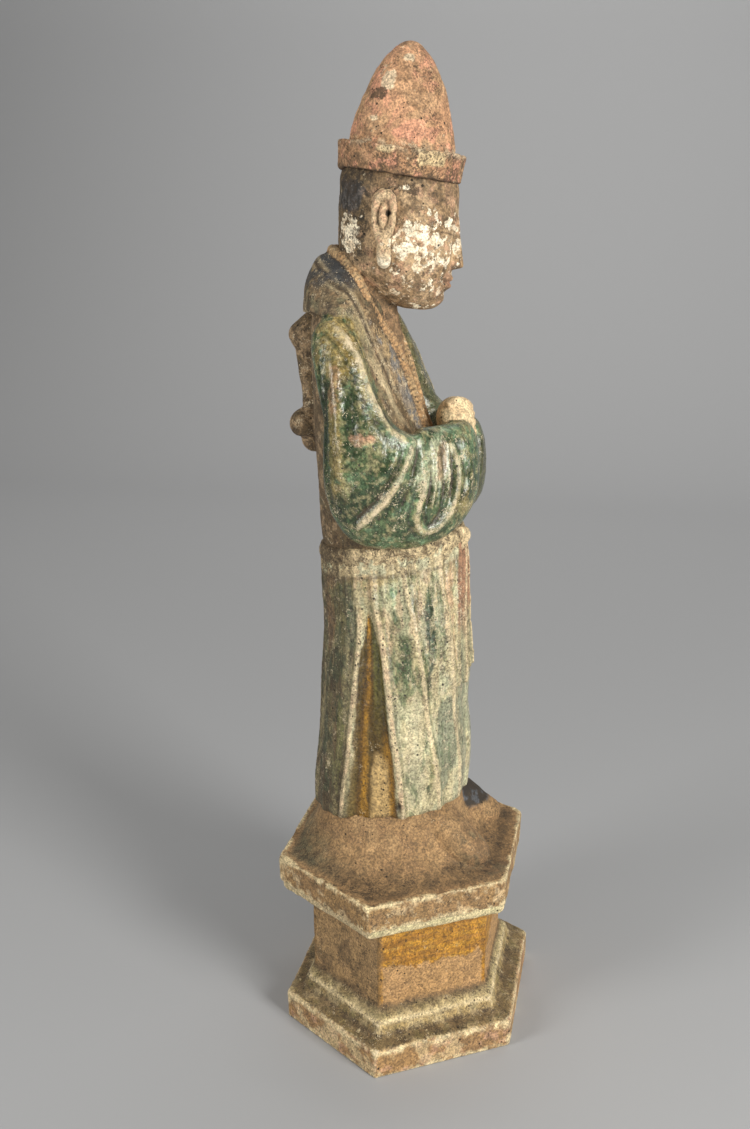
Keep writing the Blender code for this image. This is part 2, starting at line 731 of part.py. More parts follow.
def closed_mesh(name, rings):
    """One closed body through the rings, with a fan of faces at each end."""
    count, around = rings.shape[0], rings.shape[1]
    bm = bmesh.new()
    rows = [[bm.verts.new(point) for point in ring] for ring in rings]
    for low, high in zip(rows[:-1], rows[1:]):
        for i in range(around):
            j = (i + 1) % around
            bm.faces.new((low[i], low[j], high[j], high[i]))
    for row, ring in ((rows[0], rings[0]), (rows[count - 1], rings[count - 1])):
        tip = bm.verts.new(ring.mean(axis=0))
        for i in range(around):
            bm.faces.new((row[i], row[(i + 1) % around], tip))
    bmesh.ops.triangulate(bm, faces=bm.faces[:])
    bmesh.ops.recalc_face_normals(bm, faces=bm.faces[:])
    mesh = bpy.data.meshes.new(name)
    bm.to_mesh(mesh)
    bm.free()
    return mesh


def hexagon(half_width, half_depth, half_edge, middle, height):
    y = middle + ORIGIN_SHIFT
    corner = y + SIDE_CORNER_BACK
    return [
        (-half_edge, y - half_depth, height),
        (half_edge, y - half_depth, height),
        (half_width, corner, height),
        (half_edge, y + half_depth, height),
        (-half_edge, y + half_depth, height),
        (-half_width, corner, height),
    ]


def plinth_rings():
    """Base, step, sloping foot, waist, band and slab, from the ground up."""
    base = (BASE_HALF_WIDTH, BASE_HALF_DEPTH, BASE_HALF_EDGE)
    waist = (WAIST_HALF_WIDTH, WAIST_HALF_DEPTH, WAIST_HALF_EDGE)
    slab = (SLAB_HALF_WIDTH, SLAB_HALF_DEPTH, SLAB_HALF_EDGE)
    step_middle = (BASE_MIDDLE + WAIST_MIDDLE) / 2
    levels = [(base, 0.0, BASE_MIDDLE, 0.0), (base, 0.0, BASE_MIDDLE, BASE_THICK)]
    height = BASE_THICK + STEP_RISE
    levels.append((base, -STEP_INSET, step_middle, height))
    height += STEP_THICK
    levels.append((base, -STEP_INSET - STEP_TAPER, step_middle, height))
    height += WAIST_SLOPE
    levels.append((waist, 0.0, WAIST_MIDDLE, height))
    height += WAIST_HEIGHT
    levels.append((waist, 0.0, WAIST_MIDDLE, height))
    levels.append((waist, BAND_OUTSET * 0.88, SLAB_MIDDLE, height + BAND_THICK * 0.22))
    levels.append((waist, BAND_OUTSET, SLAB_MIDDLE, height + BAND_THICK * 0.45))
    height += BAND_THICK
    levels.append((waist, BAND_OUTSET, SLAB_MIDDLE, height))
    levels.append((slab, 0.0, SLAB_MIDDLE, height))
    levels.append((slab, 0.0, SLAB_MIDDLE, height + SLAB_THICK))
    rings = []
    for (half_width, half_depth, half_edge), out, middle, z in levels:
        side = out / math.cos(math.radians(30))
        rings.append(hexagon(half_width + side, half_depth + out, half_edge + side / 2, middle, z))
    return np.array(rings)


def clay_material():
    """Green lead glaze over pale clay."""
    material = bpy.data.materials.new("glazed_clay")
    material.use_nodes = True
    shader = material.node_tree.nodes["Principled BSDF"]
    shader.inputs["Base Color"].default_value = (0.20, 0.26, 0.15, 1.0)
    shader.inputs["Roughness"].default_value = 0.45
    shader.inputs["Metallic"].default_value = 0.0
    return material


def figure_forms():
    """Every form that is joined to the plinth, as a name and its rings."""
    forms = {
        "mound": mound_rings(*MOUND_CUTS),
        "skirt": skirt_rings(SKIRT_SPACING, SKIRT_CUTS),
        "torso": torso_rings(*TORSO_CUTS),
        "belt": belt_rings(*BELT_CUTS),
        "shawl": shawl_rings(SHAWL_CUTS),
        "cord": tube_rings(cord_line(CORD_CUTS[1]), [CORD_RADIUS] * CORD_CUTS[1], CORD_CUTS[0]),
        "neck": neck_rings(*NECK_CUTS),
        "head": head_rings(*HEAD_CUTS),
        "hat": hat_rings(HAT_CUTS, 8),
        "hands": hands_rings(*HANDS_CUTS),
        "knot": ball_rings(KNOT, KNOT_HALF, 10, 6),
        "sash": sash_rings(8, SASH_CUTS),
        "bow_knot": ball_rings(BOW_MIDDLE, BOW_KNOT, 10, 6),
    }
    for side, word in ((-1.0, "right"), (1.0, "left")):
        forms["sleeve_" + word] = sleeve_rings(side, *SLEEVE_CUTS)
        forms["shoe_" + word] = shoe_rings(side, *SHOE_CUTS)
        forms["ear_" + word] = ear_rings(side, *EAR_CUTS)
        loop_middle = (BOW_MIDDLE[0] + side * BOW_APART, BOW_MIDDLE[1], BOW_MIDDLE[2])
        tail_middle = (side * BOW_TAIL[0], BOW_TAIL[1], BOW_TAIL[2])
        forms["bow_" + word] = ball_rings(loop_middle, BOW_LOOP, 12, 7)
        forms["bow_tail_" + word] = ball_rings(tail_middle, BOW_TAIL_HALF, 8, 6)
    for number, ribbon in enumerate(RIBBONS):
        forms["ribbon_%d" % number] = ribbon_rings(ribbon, RIBBON_CUTS)
    return forms


def shells(bm):
    """The groups of points that hang together, the smallest group first."""
    unseen = set(bm.verts)
    groups = []
    while unseen:
        stack = [unseen.pop()]
        group = []
        while stack:
            vert = stack.pop()
            group.append(vert)
            for edge in vert.link_edges:
                other = edge.other_vert(vert)
                if other in unseen:
                    unseen.remove(other)
                    stack.append(other)
        groups.append(group)
    return sorted(groups, key=len)


def fired_body(figure):
    """The joined body as one mesh, solid all through: gaps sealed inside it are filled."""
    graph = bpy.context.evaluated_depsgraph_get()
    graph.update()
    bm = bmesh.new()
    bm.from_mesh(figure.evaluated_get(graph).to_mesh())
    for group in shells(bm)[:-1]:
        bmesh.ops.delete(bm, geom=group, context="VERTS")
    bmesh.ops.triangulate(bm, faces=bm.faces[:])
    for face in bm.faces:
        face.smooth = min(vert.co.z for vert in face.verts) > SLAB_TOP
    for edge in bm.edges:
        edge.smooth = edge.calc_face_angle(0.0) < CREASE_ANGLE
    body = bpy.data.meshes.new(NAME)
    bm.to_mesh(body)
    bm.free()
    return body


def main():
    for old in list(bpy.data.objects):
        bpy.data.objects.remove(old)
    parts = bpy.data.collections.new(NAME)
    guides = bpy.data.collections.new("joined_forms")
    bpy.context.scene.collection.children.link(parts)
    bpy.context.scene.collection.children.link(guides)
    figure = bpy.data.objects.new(NAME, closed_mesh(NAME, plinth_rings()))
    parts.objects.link(figure)
    for name, rings in figure_forms().items():
        form = bpy.data.objects.new(name, closed_mesh(name, figure_place(rings)))
        form.hide_render = True
        form.display_type = "WIRE"
        guides.objects.link(form)
        join = figure.modifiers.new("join_" + name, "BOOLEAN")
        join.operation = "UNION"
        join.solver = "EXACT"
        join.object = form
    body = fired_body(figure)
    figure.modifiers.clear()
    figure.data = body
    body.materials.clear()
    body.materials.append(clay_material())


main()
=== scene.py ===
"""The glazed tomb figure with its finer relief and its finish, in the frame of its solid.

Each piece is one or more stacks of rings, fused to one closed skin. Folds, wear and chips are
pushed into the skin. Its colours are worked out point by point, and the nodes add to them.
"""

import math

import bpy
import numpy as np
from mathutils import Matrix, Vector
from mathutils.kdtree import KDTree


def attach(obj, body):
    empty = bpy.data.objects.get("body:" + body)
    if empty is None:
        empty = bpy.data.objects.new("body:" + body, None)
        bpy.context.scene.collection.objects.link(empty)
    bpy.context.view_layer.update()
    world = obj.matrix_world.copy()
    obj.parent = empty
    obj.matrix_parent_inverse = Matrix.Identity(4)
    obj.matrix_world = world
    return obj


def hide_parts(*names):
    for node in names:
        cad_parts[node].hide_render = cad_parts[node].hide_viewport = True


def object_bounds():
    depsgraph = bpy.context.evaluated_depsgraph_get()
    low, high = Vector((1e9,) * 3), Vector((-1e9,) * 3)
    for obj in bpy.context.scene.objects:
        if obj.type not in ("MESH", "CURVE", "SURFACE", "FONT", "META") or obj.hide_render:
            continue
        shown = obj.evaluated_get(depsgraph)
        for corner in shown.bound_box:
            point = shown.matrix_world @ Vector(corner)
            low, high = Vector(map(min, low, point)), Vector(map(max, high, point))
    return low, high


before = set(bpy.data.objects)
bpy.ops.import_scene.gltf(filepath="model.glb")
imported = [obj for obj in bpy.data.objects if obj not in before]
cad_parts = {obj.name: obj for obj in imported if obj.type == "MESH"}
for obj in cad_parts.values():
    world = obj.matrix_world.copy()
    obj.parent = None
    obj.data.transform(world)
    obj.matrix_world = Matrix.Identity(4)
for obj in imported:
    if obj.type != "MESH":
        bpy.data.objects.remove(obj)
SOLID_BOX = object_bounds()
NAME = "sancai_attendant_figure"

# Plinth: hexagons with a flat edge at the front and the back and a corner at each side
BASE_HALF_WIDTH = 0.1002
BASE_HALF_DEPTH = 0.0731
BASE_HALF_EDGE = 0.0513
BASE_MIDDLE = -0.0050
BASE_THICK = 0.0185
STEP_INSET = 0.0105
STEP_RISE = 0.0020
STEP_THICK = 0.0075
STEP_TAPER = 0.0020
WAIST_SLOPE = 0.0050
WAIST_HALF_WIDTH = 0.0750
WAIST_HALF_DEPTH = 0.0565
WAIST_HALF_EDGE = 0.0370
WAIST_MIDDLE = -0.0030
WAIST_HEIGHT = 0.0545
BAND_OUTSET = 0.0145
BAND_THICK = 0.0090
SLAB_HALF_WIDTH = 0.0956
SLAB_HALF_DEPTH = 0.0724
SLAB_HALF_EDGE = 0.0472
SLAB_MIDDLE = -0.0001
SLAB_THICK = 0.0173
SIDE_CORNER_BACK = 0.0040
STEP_LOW = BASE_THICK + STEP_RISE
STEP_TOP = STEP_LOW + STEP_THICK
FOOT_TOP = STEP_TOP + WAIST_SLOPE
WAIST_TOP = FOOT_TOP + WAIST_HEIGHT
SLAB_TOP = WAIST_TOP + BAND_THICK + SLAB_THICK

# The figure is measured in units: its height over the slab is FIGURE_UNITS of them
FIGURE_HEIGHT = 0.4860
FIGURE_UNITS = 486.0
UNIT = FIGURE_HEIGHT / FIGURE_UNITS

# The origin lies halfway between the plinth's front and back
ORIGIN_SHIFT = -(BASE_MIDDLE - BASE_HALF_DEPTH + SLAB_MIDDLE + SLAB_HALF_DEPTH) / 2

# Heights over the slab, in units
HEM = 33.0
HEM_SLOPE = -0.12
BELT_LOW = 196.0
BELT_HIGH = 206.0
BELT_SLOPE = -0.135
BELT_SWELL = 2.2
WAIST_BACK = 7.8
YOKE_LOW = 190.0
BRIM_LOW = 414.5
BRIM_HIGH = 430.0
HAT_TIP = FIGURE_UNITS

# The side of the small cubes that the skins are made of, in units
QUICK = 1.0
HAT_GRAIN = 0.66 * QUICK
HEAD_GRAIN = 0.63 * QUICK
ROBE_GRAIN = 1.08 * QUICK
SKIRT_GRAIN = 0.96 * QUICK
GROUND_GRAIN = 1.00 * QUICK
PLINTH_GRAIN = 1.25 * QUICK

SIDES = ((-1.0, "right"), (1.0, "left"))
FAR = 1e3


# Colours as they look in soft light, from 0 to 255

def tone(red, green, blue):
    """A colour as light, from 0 to 1."""
    share = np.array((red, green, blue), float) / 255.0
    return np.where(share < 0.04045, share / 12.92, ((share + 0.055) / 1.055) ** 2.4)


DEEP_GREEN = tone(46, 62, 39)
GREEN = tone(86, 102, 70)
SEA_GREEN = tone(112, 140, 108)
MINT = tone(184, 188, 158)
PALE_BLUE = tone(124, 130, 108)
CREAM = tone(214, 200, 164)
STRAW = tone(168, 148, 98)
GREY_STRAW = tone(172, 160, 120)
OLD_GOLD = tone(138, 116, 66)
AMBER = tone(190, 138, 40)
AMBER_PALE = tone(206, 168, 92)
AMBER_DEEP = tone(162, 112, 36)
DARK_AMBER = tone(112, 80, 30)
OLIVE = tone(112, 112, 60)
RIDGE_CREAM = tone(212, 192, 154)
CLAY = tone(190, 156, 118)
PALE_CLAY = tone(220, 196, 156)
PINK_CLAY = tone(192, 150, 122)
BROWN_CLAY = tone(146, 114, 80)
# The next two browns are earth colours and also painted shade in hollows, creases and corners
EARTH_AND_SHADE = tone(98, 78, 54)
DARK_EARTH_AND_SHADE = tone(58, 45, 31)
SOOT = tone(28, 24, 20)
GRIME_AND_SHADE = tone(60, 46, 31)
FLECK = tone(226, 208, 176)
GESSO = tone(244, 230, 204)
SLATE = tone(92, 96, 104)
GREY_GREEN = tone(112, 108, 82)
HAT_TAN = tone(184, 146, 110)
HAT_ORANGE = tone(212, 158, 122)
HAT_PINK = tone(216, 150, 124)
HAT_BROWN = tone(142, 108, 76)
HAT_BRIM = tone(152, 116, 82)
HAT_CREAM = tone(224, 204, 172)
FACE_CLAY = tone(180, 152, 118)
FACE_BROWN = tone(142, 114, 82)
HAIR_EARTH = tone(104, 86, 60)
EAR_CREAM = tone(204, 178, 142)
LIP_ROSE = tone(184, 128, 106)
NECK_BROWN = tone(132, 104, 74)
TORSO_BROWN = tone(102, 84, 58)
COLLAR_BROWN = tone(128, 110, 82)
BAND_TAN = tone(176, 150, 112)
BAND_BLUE = tone(108, 110, 114)
CORD_TAN = tone(178, 140, 98)
SKIRT_STRAW = tone(172, 160, 124)
SKIRT_CREAM = tone(198, 184, 144)
SKIRT_PINK = tone(196, 164, 134)
SKIRT_PALE = tone(202, 192, 154)
REAR_OLIVE_AND_SHADE = tone(80, 76, 36)
REAR_STRAW = tone(140, 128, 92)
SLIT_BROWN_AND_SHADE = tone(82, 62, 24)
SLIT_GREY = tone(98, 88, 46)
SLIT_BARE = tone(186, 156, 104)
YOKE_STRAW = tone(192, 172, 134)
RIBBON_ROSE = tone(148, 104, 80)
MOUND_CLAY = tone(148, 117, 80)
MOUND_PALE = tone(168, 136, 96)
SLAB_BROWN = tone(120, 95, 64)
SLAB_SIDE = tone(154, 122, 80)
EDGE_CREAM = tone(218, 198, 156)
BASE_CLAY = tone(162, 126, 82)
FOOT_OLIVE = tone(146, 126, 84)
BAND_CREAM = tone(206, 200, 164)
WAIST_LIT_PINK = tone(176, 138, 92)
WAIST_SHADED_GREY = tone(160, 130, 90)


# Small helpers

def ease(low, high, value):
    """A soft step from 0 at low to 1 at high."""
    t = np.clip((np.asarray(value, float) - low) / (high - low), 0.0, 1.0)
    return t * t * (3.0 - 2.0 * t)


def bump(distance, width):
    """A round hill, 1 high in its middle."""
    return np.exp(-((np.asarray(distance, float) / width) ** 2))


def smooth_rows(keys, count):
    """Rows read from a smooth curve through the key rows, evenly in the keys' number."""
    keys = np.asarray(keys, float)
    last = len(keys) - 1
    t = np.linspace(0.0, last, count)
    low = np.clip(np.floor(t).astype(int), 0, last - 1)
    f = (t - low)[:, None]
    slope = np.gradient(keys, axis=0)
    a = keys[low]
    b = keys[low + 1]
    return (
        (2 * f**3 - 3 * f**2 + 1) * a
        + (f**3 - 2 * f**2 + f) * slope[low]
        + (3 * f**2 - 2 * f**3) * b
        + (f**3 - f**2) * slope[low + 1]
    )


def rows_at(keys, heights):
    """Rows read at the given heights, where each key row starts with its height."""
    fine = smooth_rows(keys, 40 * len(keys))
    return np.stack([np.interp(heights, fine[:, 0], column) for column in fine.T[1:]], -1)


def turn(count):
    """Angles once round, in degrees: 0 at the front, 90 at the figure's right."""
    return np.arange(count) * 360.0 / count


def oval(angles, fullness=2.0):
    """Sideways and backward shares of an oval at the angles; above 2 it is fuller."""
    a = np.radians(angles)
    return powered(-np.sin(a), 2.0 / fullness), powered(-np.cos(a), 2.0 / fullness)


def powered(value, power):
    """The value raised to the power, with its sign kept."""
    return np.sign(value) * np.abs(value) ** power


def stack_rings(keys, heights, around, fullness=2.0):
    """A level ring at each height, from key rows of height, front, back and half width."""
    across, back = oval(turn(around), fullness)
    rings = []
    for height in heights:
        front, rear, half = rows_at(keys, height)
        y = (front + rear) / 2 + back * (rear - front) / 2
        rings.append(np.stack([across * half, y, np.full(around, height)], -1))
    return np.array(rings)


def wrapped(angle):
    """An angle in degrees brought to between -180 and 180."""
    return (np.asarray(angle, float) + 180.0) % 360.0 - 180.0


def dice(cells, seed):
    """A random number from 0 to 1 for each cell, always the same one."""
    mixed = cells[..., 0] * 73856093 ^ cells[..., 1] * 19349663 ^ cells[..., 2] * 83492791
    mixed = (mixed ^ (seed * 668265263)) & 0xFFFFFFFF
    mixed = ((mixed ^ (mixed >> 13)) * 1274126177) & 0xFFFFFFFF
    mixed = ((mixed ^ (mixed >> 16)) * 2246822519) & 0xFFFFFFFF
    return ((mixed ^ (mixed >> 15)) & 0xFFFF) / 65535.0


LAYER_APART = 17.3
LAYER_FADE = 0.55


def clouds(points, size, seed, layers=4):
    """Soft random patches of about this size at the points, mostly between -1 and 1."""
    total = np.zeros(len(points))
    strength = 1.0
    for layer in range(layers):
        spot = points / size + LAYER_APART * layer + seed
        cell = np.floor(spot).astype(np.int64)
        f = spot - cell
        f = f * f * (3.0 - 2.0 * f)
        value = np.zeros(len(points))
        for corner in range(8):
            step = np.array((corner & 1, corner >> 1 & 1, corner >> 2))
            share = np.prod(np.where(step, f, 1.0 - f), axis=1)
            value += share * dice(cell + step, seed + layer)
        total += strength * (value * 2.0 - 1.0)
        size /= 2.0
        strength *= LAYER_FADE
    return total


def new_object(name, data):
    """An object with this data, in the scene."""
    thing = bpy.data.objects.new(name, data)
    bpy.context.scene.collection.objects.link(thing)
    return thing


# Forms of the figure, each a stack of rings of points in units

# Skirt rings: height, front, back, half width
SKIRT = (
    (26.0, -40.0, 57.0, 49.0),
    (51.0, -42.2, 57.2, 49.0),
    (72.0, -42.0, 54.7, 48.6),
    (93.0, -40.2, 53.0, 48.0),
    (124.0, -41.4, 51.8, 47.0),
    (154.0, -39.3, 49.6, 45.4),
    (176.0, -37.2, 51.0, 44.2),
    (192.0, -36.2, 51.2, 43.6),
    (206.0, -34.8, 51.2, 43.0),
)
SKIRT_FULLNESS = 2.15

# Skirt folds: angle at the hem, angle at the belt, height at the hem, height at the belt, width
SIDE_FOLDS = (
    (117.0, 104.0, 2.1, 0.9, 2.9),
    (72.5, 96.0, 2.7, 1.2, 2.7),
    (44.0, 73.0, 2.3, 1.4, 3.2),
    (20.0, 42.0, 0.6, 1.8, 3.6),
    (34.0, 52.0, -1.7, -0.5, 2.2),
    (125.0, 119.0, 1.3, 0.5, 2.8),
    (139.0, 133.0, 1.2, 0.6, 4.2),
)
BACK_FOLDS = (
    (160.0, 163.0, 1.5, 0.5, 5.0),
    (180.0, 180.0, -0.9, -0.2, 4.0),
    (201.0, 196.0, 1.4, 0.5, 5.0),
)
SLIT_REAR = SIDE_FOLDS[0][0:2]
SLIT_FRONT = SIDE_FOLDS[1][0:2]
SLIT_DEPTH = 3.4
FRONT_LAP = (2.0, 7.0)
FRONT_LAP_STEP = 1.6
SKIRT_TOP = BELT_HIGH - 2.0
GATHER_PITCH = 6.4
GATHER_TALL = 0.7


def share_down(height):
    """0 at the belt and 1 at the hem."""
    return 1.0 - np.clip((height - HEM) / (YOKE_LOW - HEM), 0.0, 1.0)


def leaning(line, down):
    """The angle of a line of the skirt that far down."""
    return line[1] + (line[0] - line[1]) * down


def slit_place(angles, down, side):
    """0 at a side slit's edges and 1 along its middle."""
    rear = side * leaning(SLIT_REAR, down)
    front = side * leaning(SLIT_FRONT, down)
    half = np.abs(rear - front) / 2
    return 1.0 - np.abs(wrapped(angles - (rear + front) / 2)) / np.maximum(half, 0.1)


def skirt_relief(angles, height):
    """How far the folds stand out of the skirt at the angles, at one height."""
    down = share_down(height)
    out = np.zeros(len(angles))
    for side in (1.0, -1.0):
        for low, high, tall_low, tall_high, width in SIDE_FOLDS:
            off = side * wrapped(angles - side * leaning((low, high), down))
            tall = leaning((tall_low, tall_high), down)
            out += tall * bump(off, width)
            out -= 0.35 * abs(tall) * bump(off + 1.7 * width, 0.8)
        inside = slit_place(angles, down, side)
        out -= SLIT_DEPTH * (0.35 + 0.65 * down) * ease(0.12, 0.42, inside) * ease(0.06, 0.20, down)
        out += 0.7 * down * bump(inside - 0.95, 0.16)
    for low, high, tall_low, tall_high, width in BACK_FOLDS:
        tall = leaning((tall_low, tall_high), down)
        out += tall * bump(wrapped(angles - leaning((low, high), down)), width)
    lap = wrapped(angles - leaning(FRONT_LAP, down))
    out -= FRONT_LAP_STEP * ease(-1.0, 1.0, lap) * (1.0 - ease(4.0, 16.0, lap))
    gathers = np.cos(2 * math.pi * angles / GATHER_PITCH + 2.0 * np.sin(np.radians(5 * angles)))
    out += GATHER_TALL * gathers * (1.0 - ease(0.0, 0.30, down))
    return out


def skirt_tilt(share):
    return HEM_SLOPE + (BELT_SLOPE - HEM_SLOPE) * share


def skirt_rings(around, along):
    angles = turn(around)
    across, back = oval(angles, SKIRT_FULLNESS)
    rings = []
    for share in np.linspace(0.0, 1.0, along):
        height = HEM + (SKIRT_TOP - HEM) * share
        front, rear, half = rows_at(SKIRT, height)
        length = np.hypot(across, back)
        relief = skirt_relief(angles, height) / length
        x = across * (half + relief)
        y = (front + rear) / 2 + back * ((rear - front) / 2 + relief)
        z = height + skirt_tilt(share) * (y - (front + rear) / 2)
        rings.append(np.stack([x, y, z], -1))
    return np.array(rings)


def skirt_place(points):
    """The angle and the height on the skirt that each point belongs to."""
    x, y, z = points.T
    height = z.copy()
    for _ in range(3):
        front, rear, half = rows_at(SKIRT, height).T
        share = np.clip((height - HEM) / (SKIRT_TOP - HEM), 0.0, 1.0)
        height = z - skirt_tilt(share) * (y - (front + rear) / 2)
    s = x / half
    c = (y - (front + rear) / 2) / ((rear - front) / 2)
    s, c = (powered(value, SKIRT_FULLNESS / 2) for value in (s, c))
    return np.degrees(np.arctan2(-s, -c)) % 360.0, height


LOW_FULLNESS = 2.2

# The clay under the hem: height, front, back, half width
MOUND = (
    (-3.0, -60.0, 68.0, 77.0),
    (0.5, -58.5, 67.5, 75.0),
    (2.0, -55.0, 66.5, 70.0),
    (5.0, -49.5, 64.5, 64.0),
    (11.0, -44.0, 60.0, 56.0),
    (19.0, -39.5, 56.5, 50.0),
    (28.0, -37.0, 54.0, 46.0),
    (50.0, -35.0, 52.0, 43.5),
)


def mound_rings(around, along):
    """The rings lie closer together towards the slab."""
    low, high = MOUND[0][0], MOUND[-1][0]
    heights = low + (high - low) * np.linspace(0.0, 1.0, along) ** 1.6
    return stack_rings(MOUND, heights, around, LOW_FULLNESS)


# Shoe sections from heel to toe: middle sideways, backward, height, half width, half height
SHOE = (
    (18.0, 0.0, 20.0, 12.0, 22.0),
    (20.0, -14.0, 19.0, 14.5, 22.0),
    (22.5, -28.0, 17.0, 15.5, 21.0),
    (25.0, -39.0, 12.5, 15.5, 16.5),
    (27.0, -49.0, 8.5, 13.5, 11.5),
    (28.5, -56.5, 7.5, 9.0, 7.0),
    (29.0, -60.0, 8.0, 2.5, 2.5),
)
SOLE_HEIGHT = 3.2


def shoe_rings(side, around, along):
    across, up = oval(turn(around), LOW_FULLNESS)
    rings = []
    for x, y, z, half_wide, half_tall in smooth_rows(SHOE, along):
        level = z + up * half_tall
        over = level - SOLE_HEIGHT
        out = 1.0 + 0.05 * bump(over, 1.3) - 0.04 * bump(over - 2.6, 0.9)
        ring = np.stack([x + across * half_wide * out, np.full(around, y), level], -1)
        rings.append(ring * (side, 1.0, 1.0))
    return np.array(rings)


# Torso rings: height, front, back, half width
TORSO = (
    (186.0, -27.0, 43.0, 36.0),
    (199.0, -31.5, 49.8, 41.0),
    (210.0, -32.0, 51.6, 43.2),
    (231.0, -26.0, 52.2, 45.0),
    (261.0, -13.0, 53.0, 47.5),
    (286.0, -3.0, 53.5, 49.0),
    (306.0, 4.5, 54.0, 48.5),
    (322.0, 8.0, 54.5, 46.0),
    (334.0, 10.0, 54.5, 39.0),
    (344.0, 11.0, 53.5, 31.0),
    (356.0, 16.0, 50.0, 22.0),
)


def belt_rings(around, along):
    """A flat band round the waist, swelling a little at mid height."""
    across, back = oval(turn(around), SKIRT_FULLNESS)
    rings = []
    for share in np.linspace(0.0, 1.0, along):
        height = BELT_LOW + (BELT_HIGH - BELT_LOW) * share
        front, rear, half = rows_at(SKIRT, min(height, SKIRT[-1][0]))
        out = BELT_SWELL * math.sin(math.pi * (0.12 + 0.76 * share)) - 0.4
        x = across * (half + out)
        y = (front + rear) / 2 + back * ((rear - front) / 2 + out)
        rings.append(np.stack([x, y, height + BELT_SLOPE * (y - WAIST_BACK)], -1))
    return np.array(rings)


# Sleeve sections from the shoulder to the cuff: the middle, the way of the long half axis,
# both half axes and the way of the short one
SLEEVE = (
    (38.0, 31.0, 334.0, -0.2, 1.0, 0.1, 10.0, 8.0, 0.7, 0.1, 0.7),
    (45.0, 30.5, 323.0, -0.1, 1.0, 0.1, 15.0, 11.5, 0.9, 0.1, 0.4),
    (50.5, 25.0, 304.0, 0.0, 1.0, 0.1, 16.5, 14.5, 1.0, 0.1, 0.1),
    (54.0, 17.5, 281.0, 0.0, 1.0, -0.1, 18.5, 16.5, 1.0, 0.0, 0.0),
    (54.0, 11.5, 257.5, 0.1, 1.0, -0.75, 29.5, 17.5, 1.0, -0.1, 0.1),
    (50.0, 2.0, 245.0, 0.1, 0.62, -1.0, 37.5, 17.0, 0.9, -0.35, 0.0),
    (43.0, -11.0, 242.0, 0.1, 0.22, -1.0, 36.0, 16.0, 0.75, -0.6, 0.0),
    (33.0, -23.5, 243.0, 0.1, 0.0, -1.0, 33.5, 14.5, 0.65, -0.75, 0.0),
    (22.0, -33.0, 247.0, 0.1, -0.05, -1.0, 30.5, 13.0, 0.6, -0.8, 0.0),
    (11.5, -38.0, 251.0, 0.0, -0.05, -1.0, 26.0, 11.0, 0.6, -0.8, 0.0),
    (4.5, -40.5, 253.0, 0.0, 0.0, -1.0, 19.0, 7.0, 0.6, -0.8, 0.0),
)
SLEEVE_FULLNESS = 2.2
LEFT_ARM_FORWARD = 9.0
LEFT_ARM_FADE = (262.0, 300.0)


def sleeve_rings(side, around, along):
    thick_share, long_share = (share[:, None] for share in oval(turn(around), SLEEVE_FULLNESS))
    rings = []
    for row, place in zip(smooth_rows(SLEEVE, along), np.linspace(0.0, 1.0, along)):
        middle = row[0:3].copy()
        if side > 0:
            middle[1] -= LEFT_ARM_FORWARD * (1.0 - ease(0.25, 0.6, place))
        long_way = row[3:6] / np.linalg.norm(row[3:6])
        thick_way = row[8:11] - np.dot(row[8:11], long_way) * long_way
        thick_way /= np.linalg.norm(thick_way)
        ring = middle + long_share * row[6] * long_way - thick_share * row[7] * thick_way
        rings.append(ring * (side, 1.0, 1.0))
    return np.array(rings)


# Shawl collar from the nape to its end under the hands: inner edge, crease, outer edge
SHAWL = (
    (0.0, 43.0, 373.0, 0.0, 54.0, 368.5, 0.0, 59.3, 340.0),
    (8.0, 39.3, 372.5, 15.0, 48.0, 364.0, 17.0, 57.5, 339.0),
    (17.0, 29.3, 366.0, 28.0, 35.5, 355.0, 33.0, 47.5, 339.5),
    (20.5, 22.5, 355.5, 33.5, 25.5, 349.0, 46.0, 33.0, 335.0),
    (17.0, 17.4, 341.5, 33.0, 17.5, 333.0, 47.0, 24.0, 328.0),
    (12.5, 10.0, 328.5, 30.5, 12.0, 318.0, 48.0, 17.0, 315.0),
    (8.5, 2.0, 312.5, 27.0, 6.5, 305.0, 49.0, 9.5, 301.0),
    (6.0, -4.0, 295.0, 21.0, 2.0, 289.0, 47.0, 1.5, 284.0),
    (4.0, -8.8, 280.0, 12.5, -4.0, 275.0, 36.0, -5.5, 269.0),
    (3.0, -15.0, 264.0, 7.0, -12.0, 259.0, 11.0, -12.0, 255.0),
)
SHAWL_THICK = 14.0


def shawl_line(keys, count):
    """The key rows on both sides of the nape, read smoothly from one end to the other."""
    half = np.asarray(keys, float)
    mirror = half[:0:-1].copy()
    mirror[:, 0::3] *= -1.0
    return smooth_rows(np.vstack([mirror, half]), count)


def inward(points):
    """The way from each point towards the body's middle line."""
    way = np.stack([-points[:, 0], 22.0 - points[:, 1], np.full(len(points), -6.0)], -1)
    return way / np.linalg.norm(way, axis=1)[:, None]


def between(first, last, count, swell):
    """Points from first to last that bow outward by swell halfway."""
    t = np.linspace(0.0, 1.0, count)[:, None]
    line = first * (1.0 - t) + last * t
    return line - inward(line) * swell * np.sin(np.pi * t)


def shawl_rings(along, cuts):
    rings = []
    for row in shawl_line(SHAWL, along):
        inner, crease, outer = row[0:3], row[3:6], row[6:9]
        upper = between(inner, crease, cuts + 1, 2.0)
        lower = between(crease, outer, cuts + 2, 3.2)
        front = np.vstack([upper, lower[1:]])
        edge = np.array([inner, outer])
        deep = edge + inward(edge) * SHAWL_THICK
        rings.append(np.vstack([front, deep[1], deep[0]]))
    return np.array(rings)


CORD_RADIUS = 2.9
CORD_PITCH = 5.0


def cord_line(count):
    """The cord lies on the shawl's inner edge."""
    line = shawl_line(np.asarray(SHAWL)[:, 0:3], count)
    return line - inward(line) * 0.9 + (0.0, 0.0, 0.4)


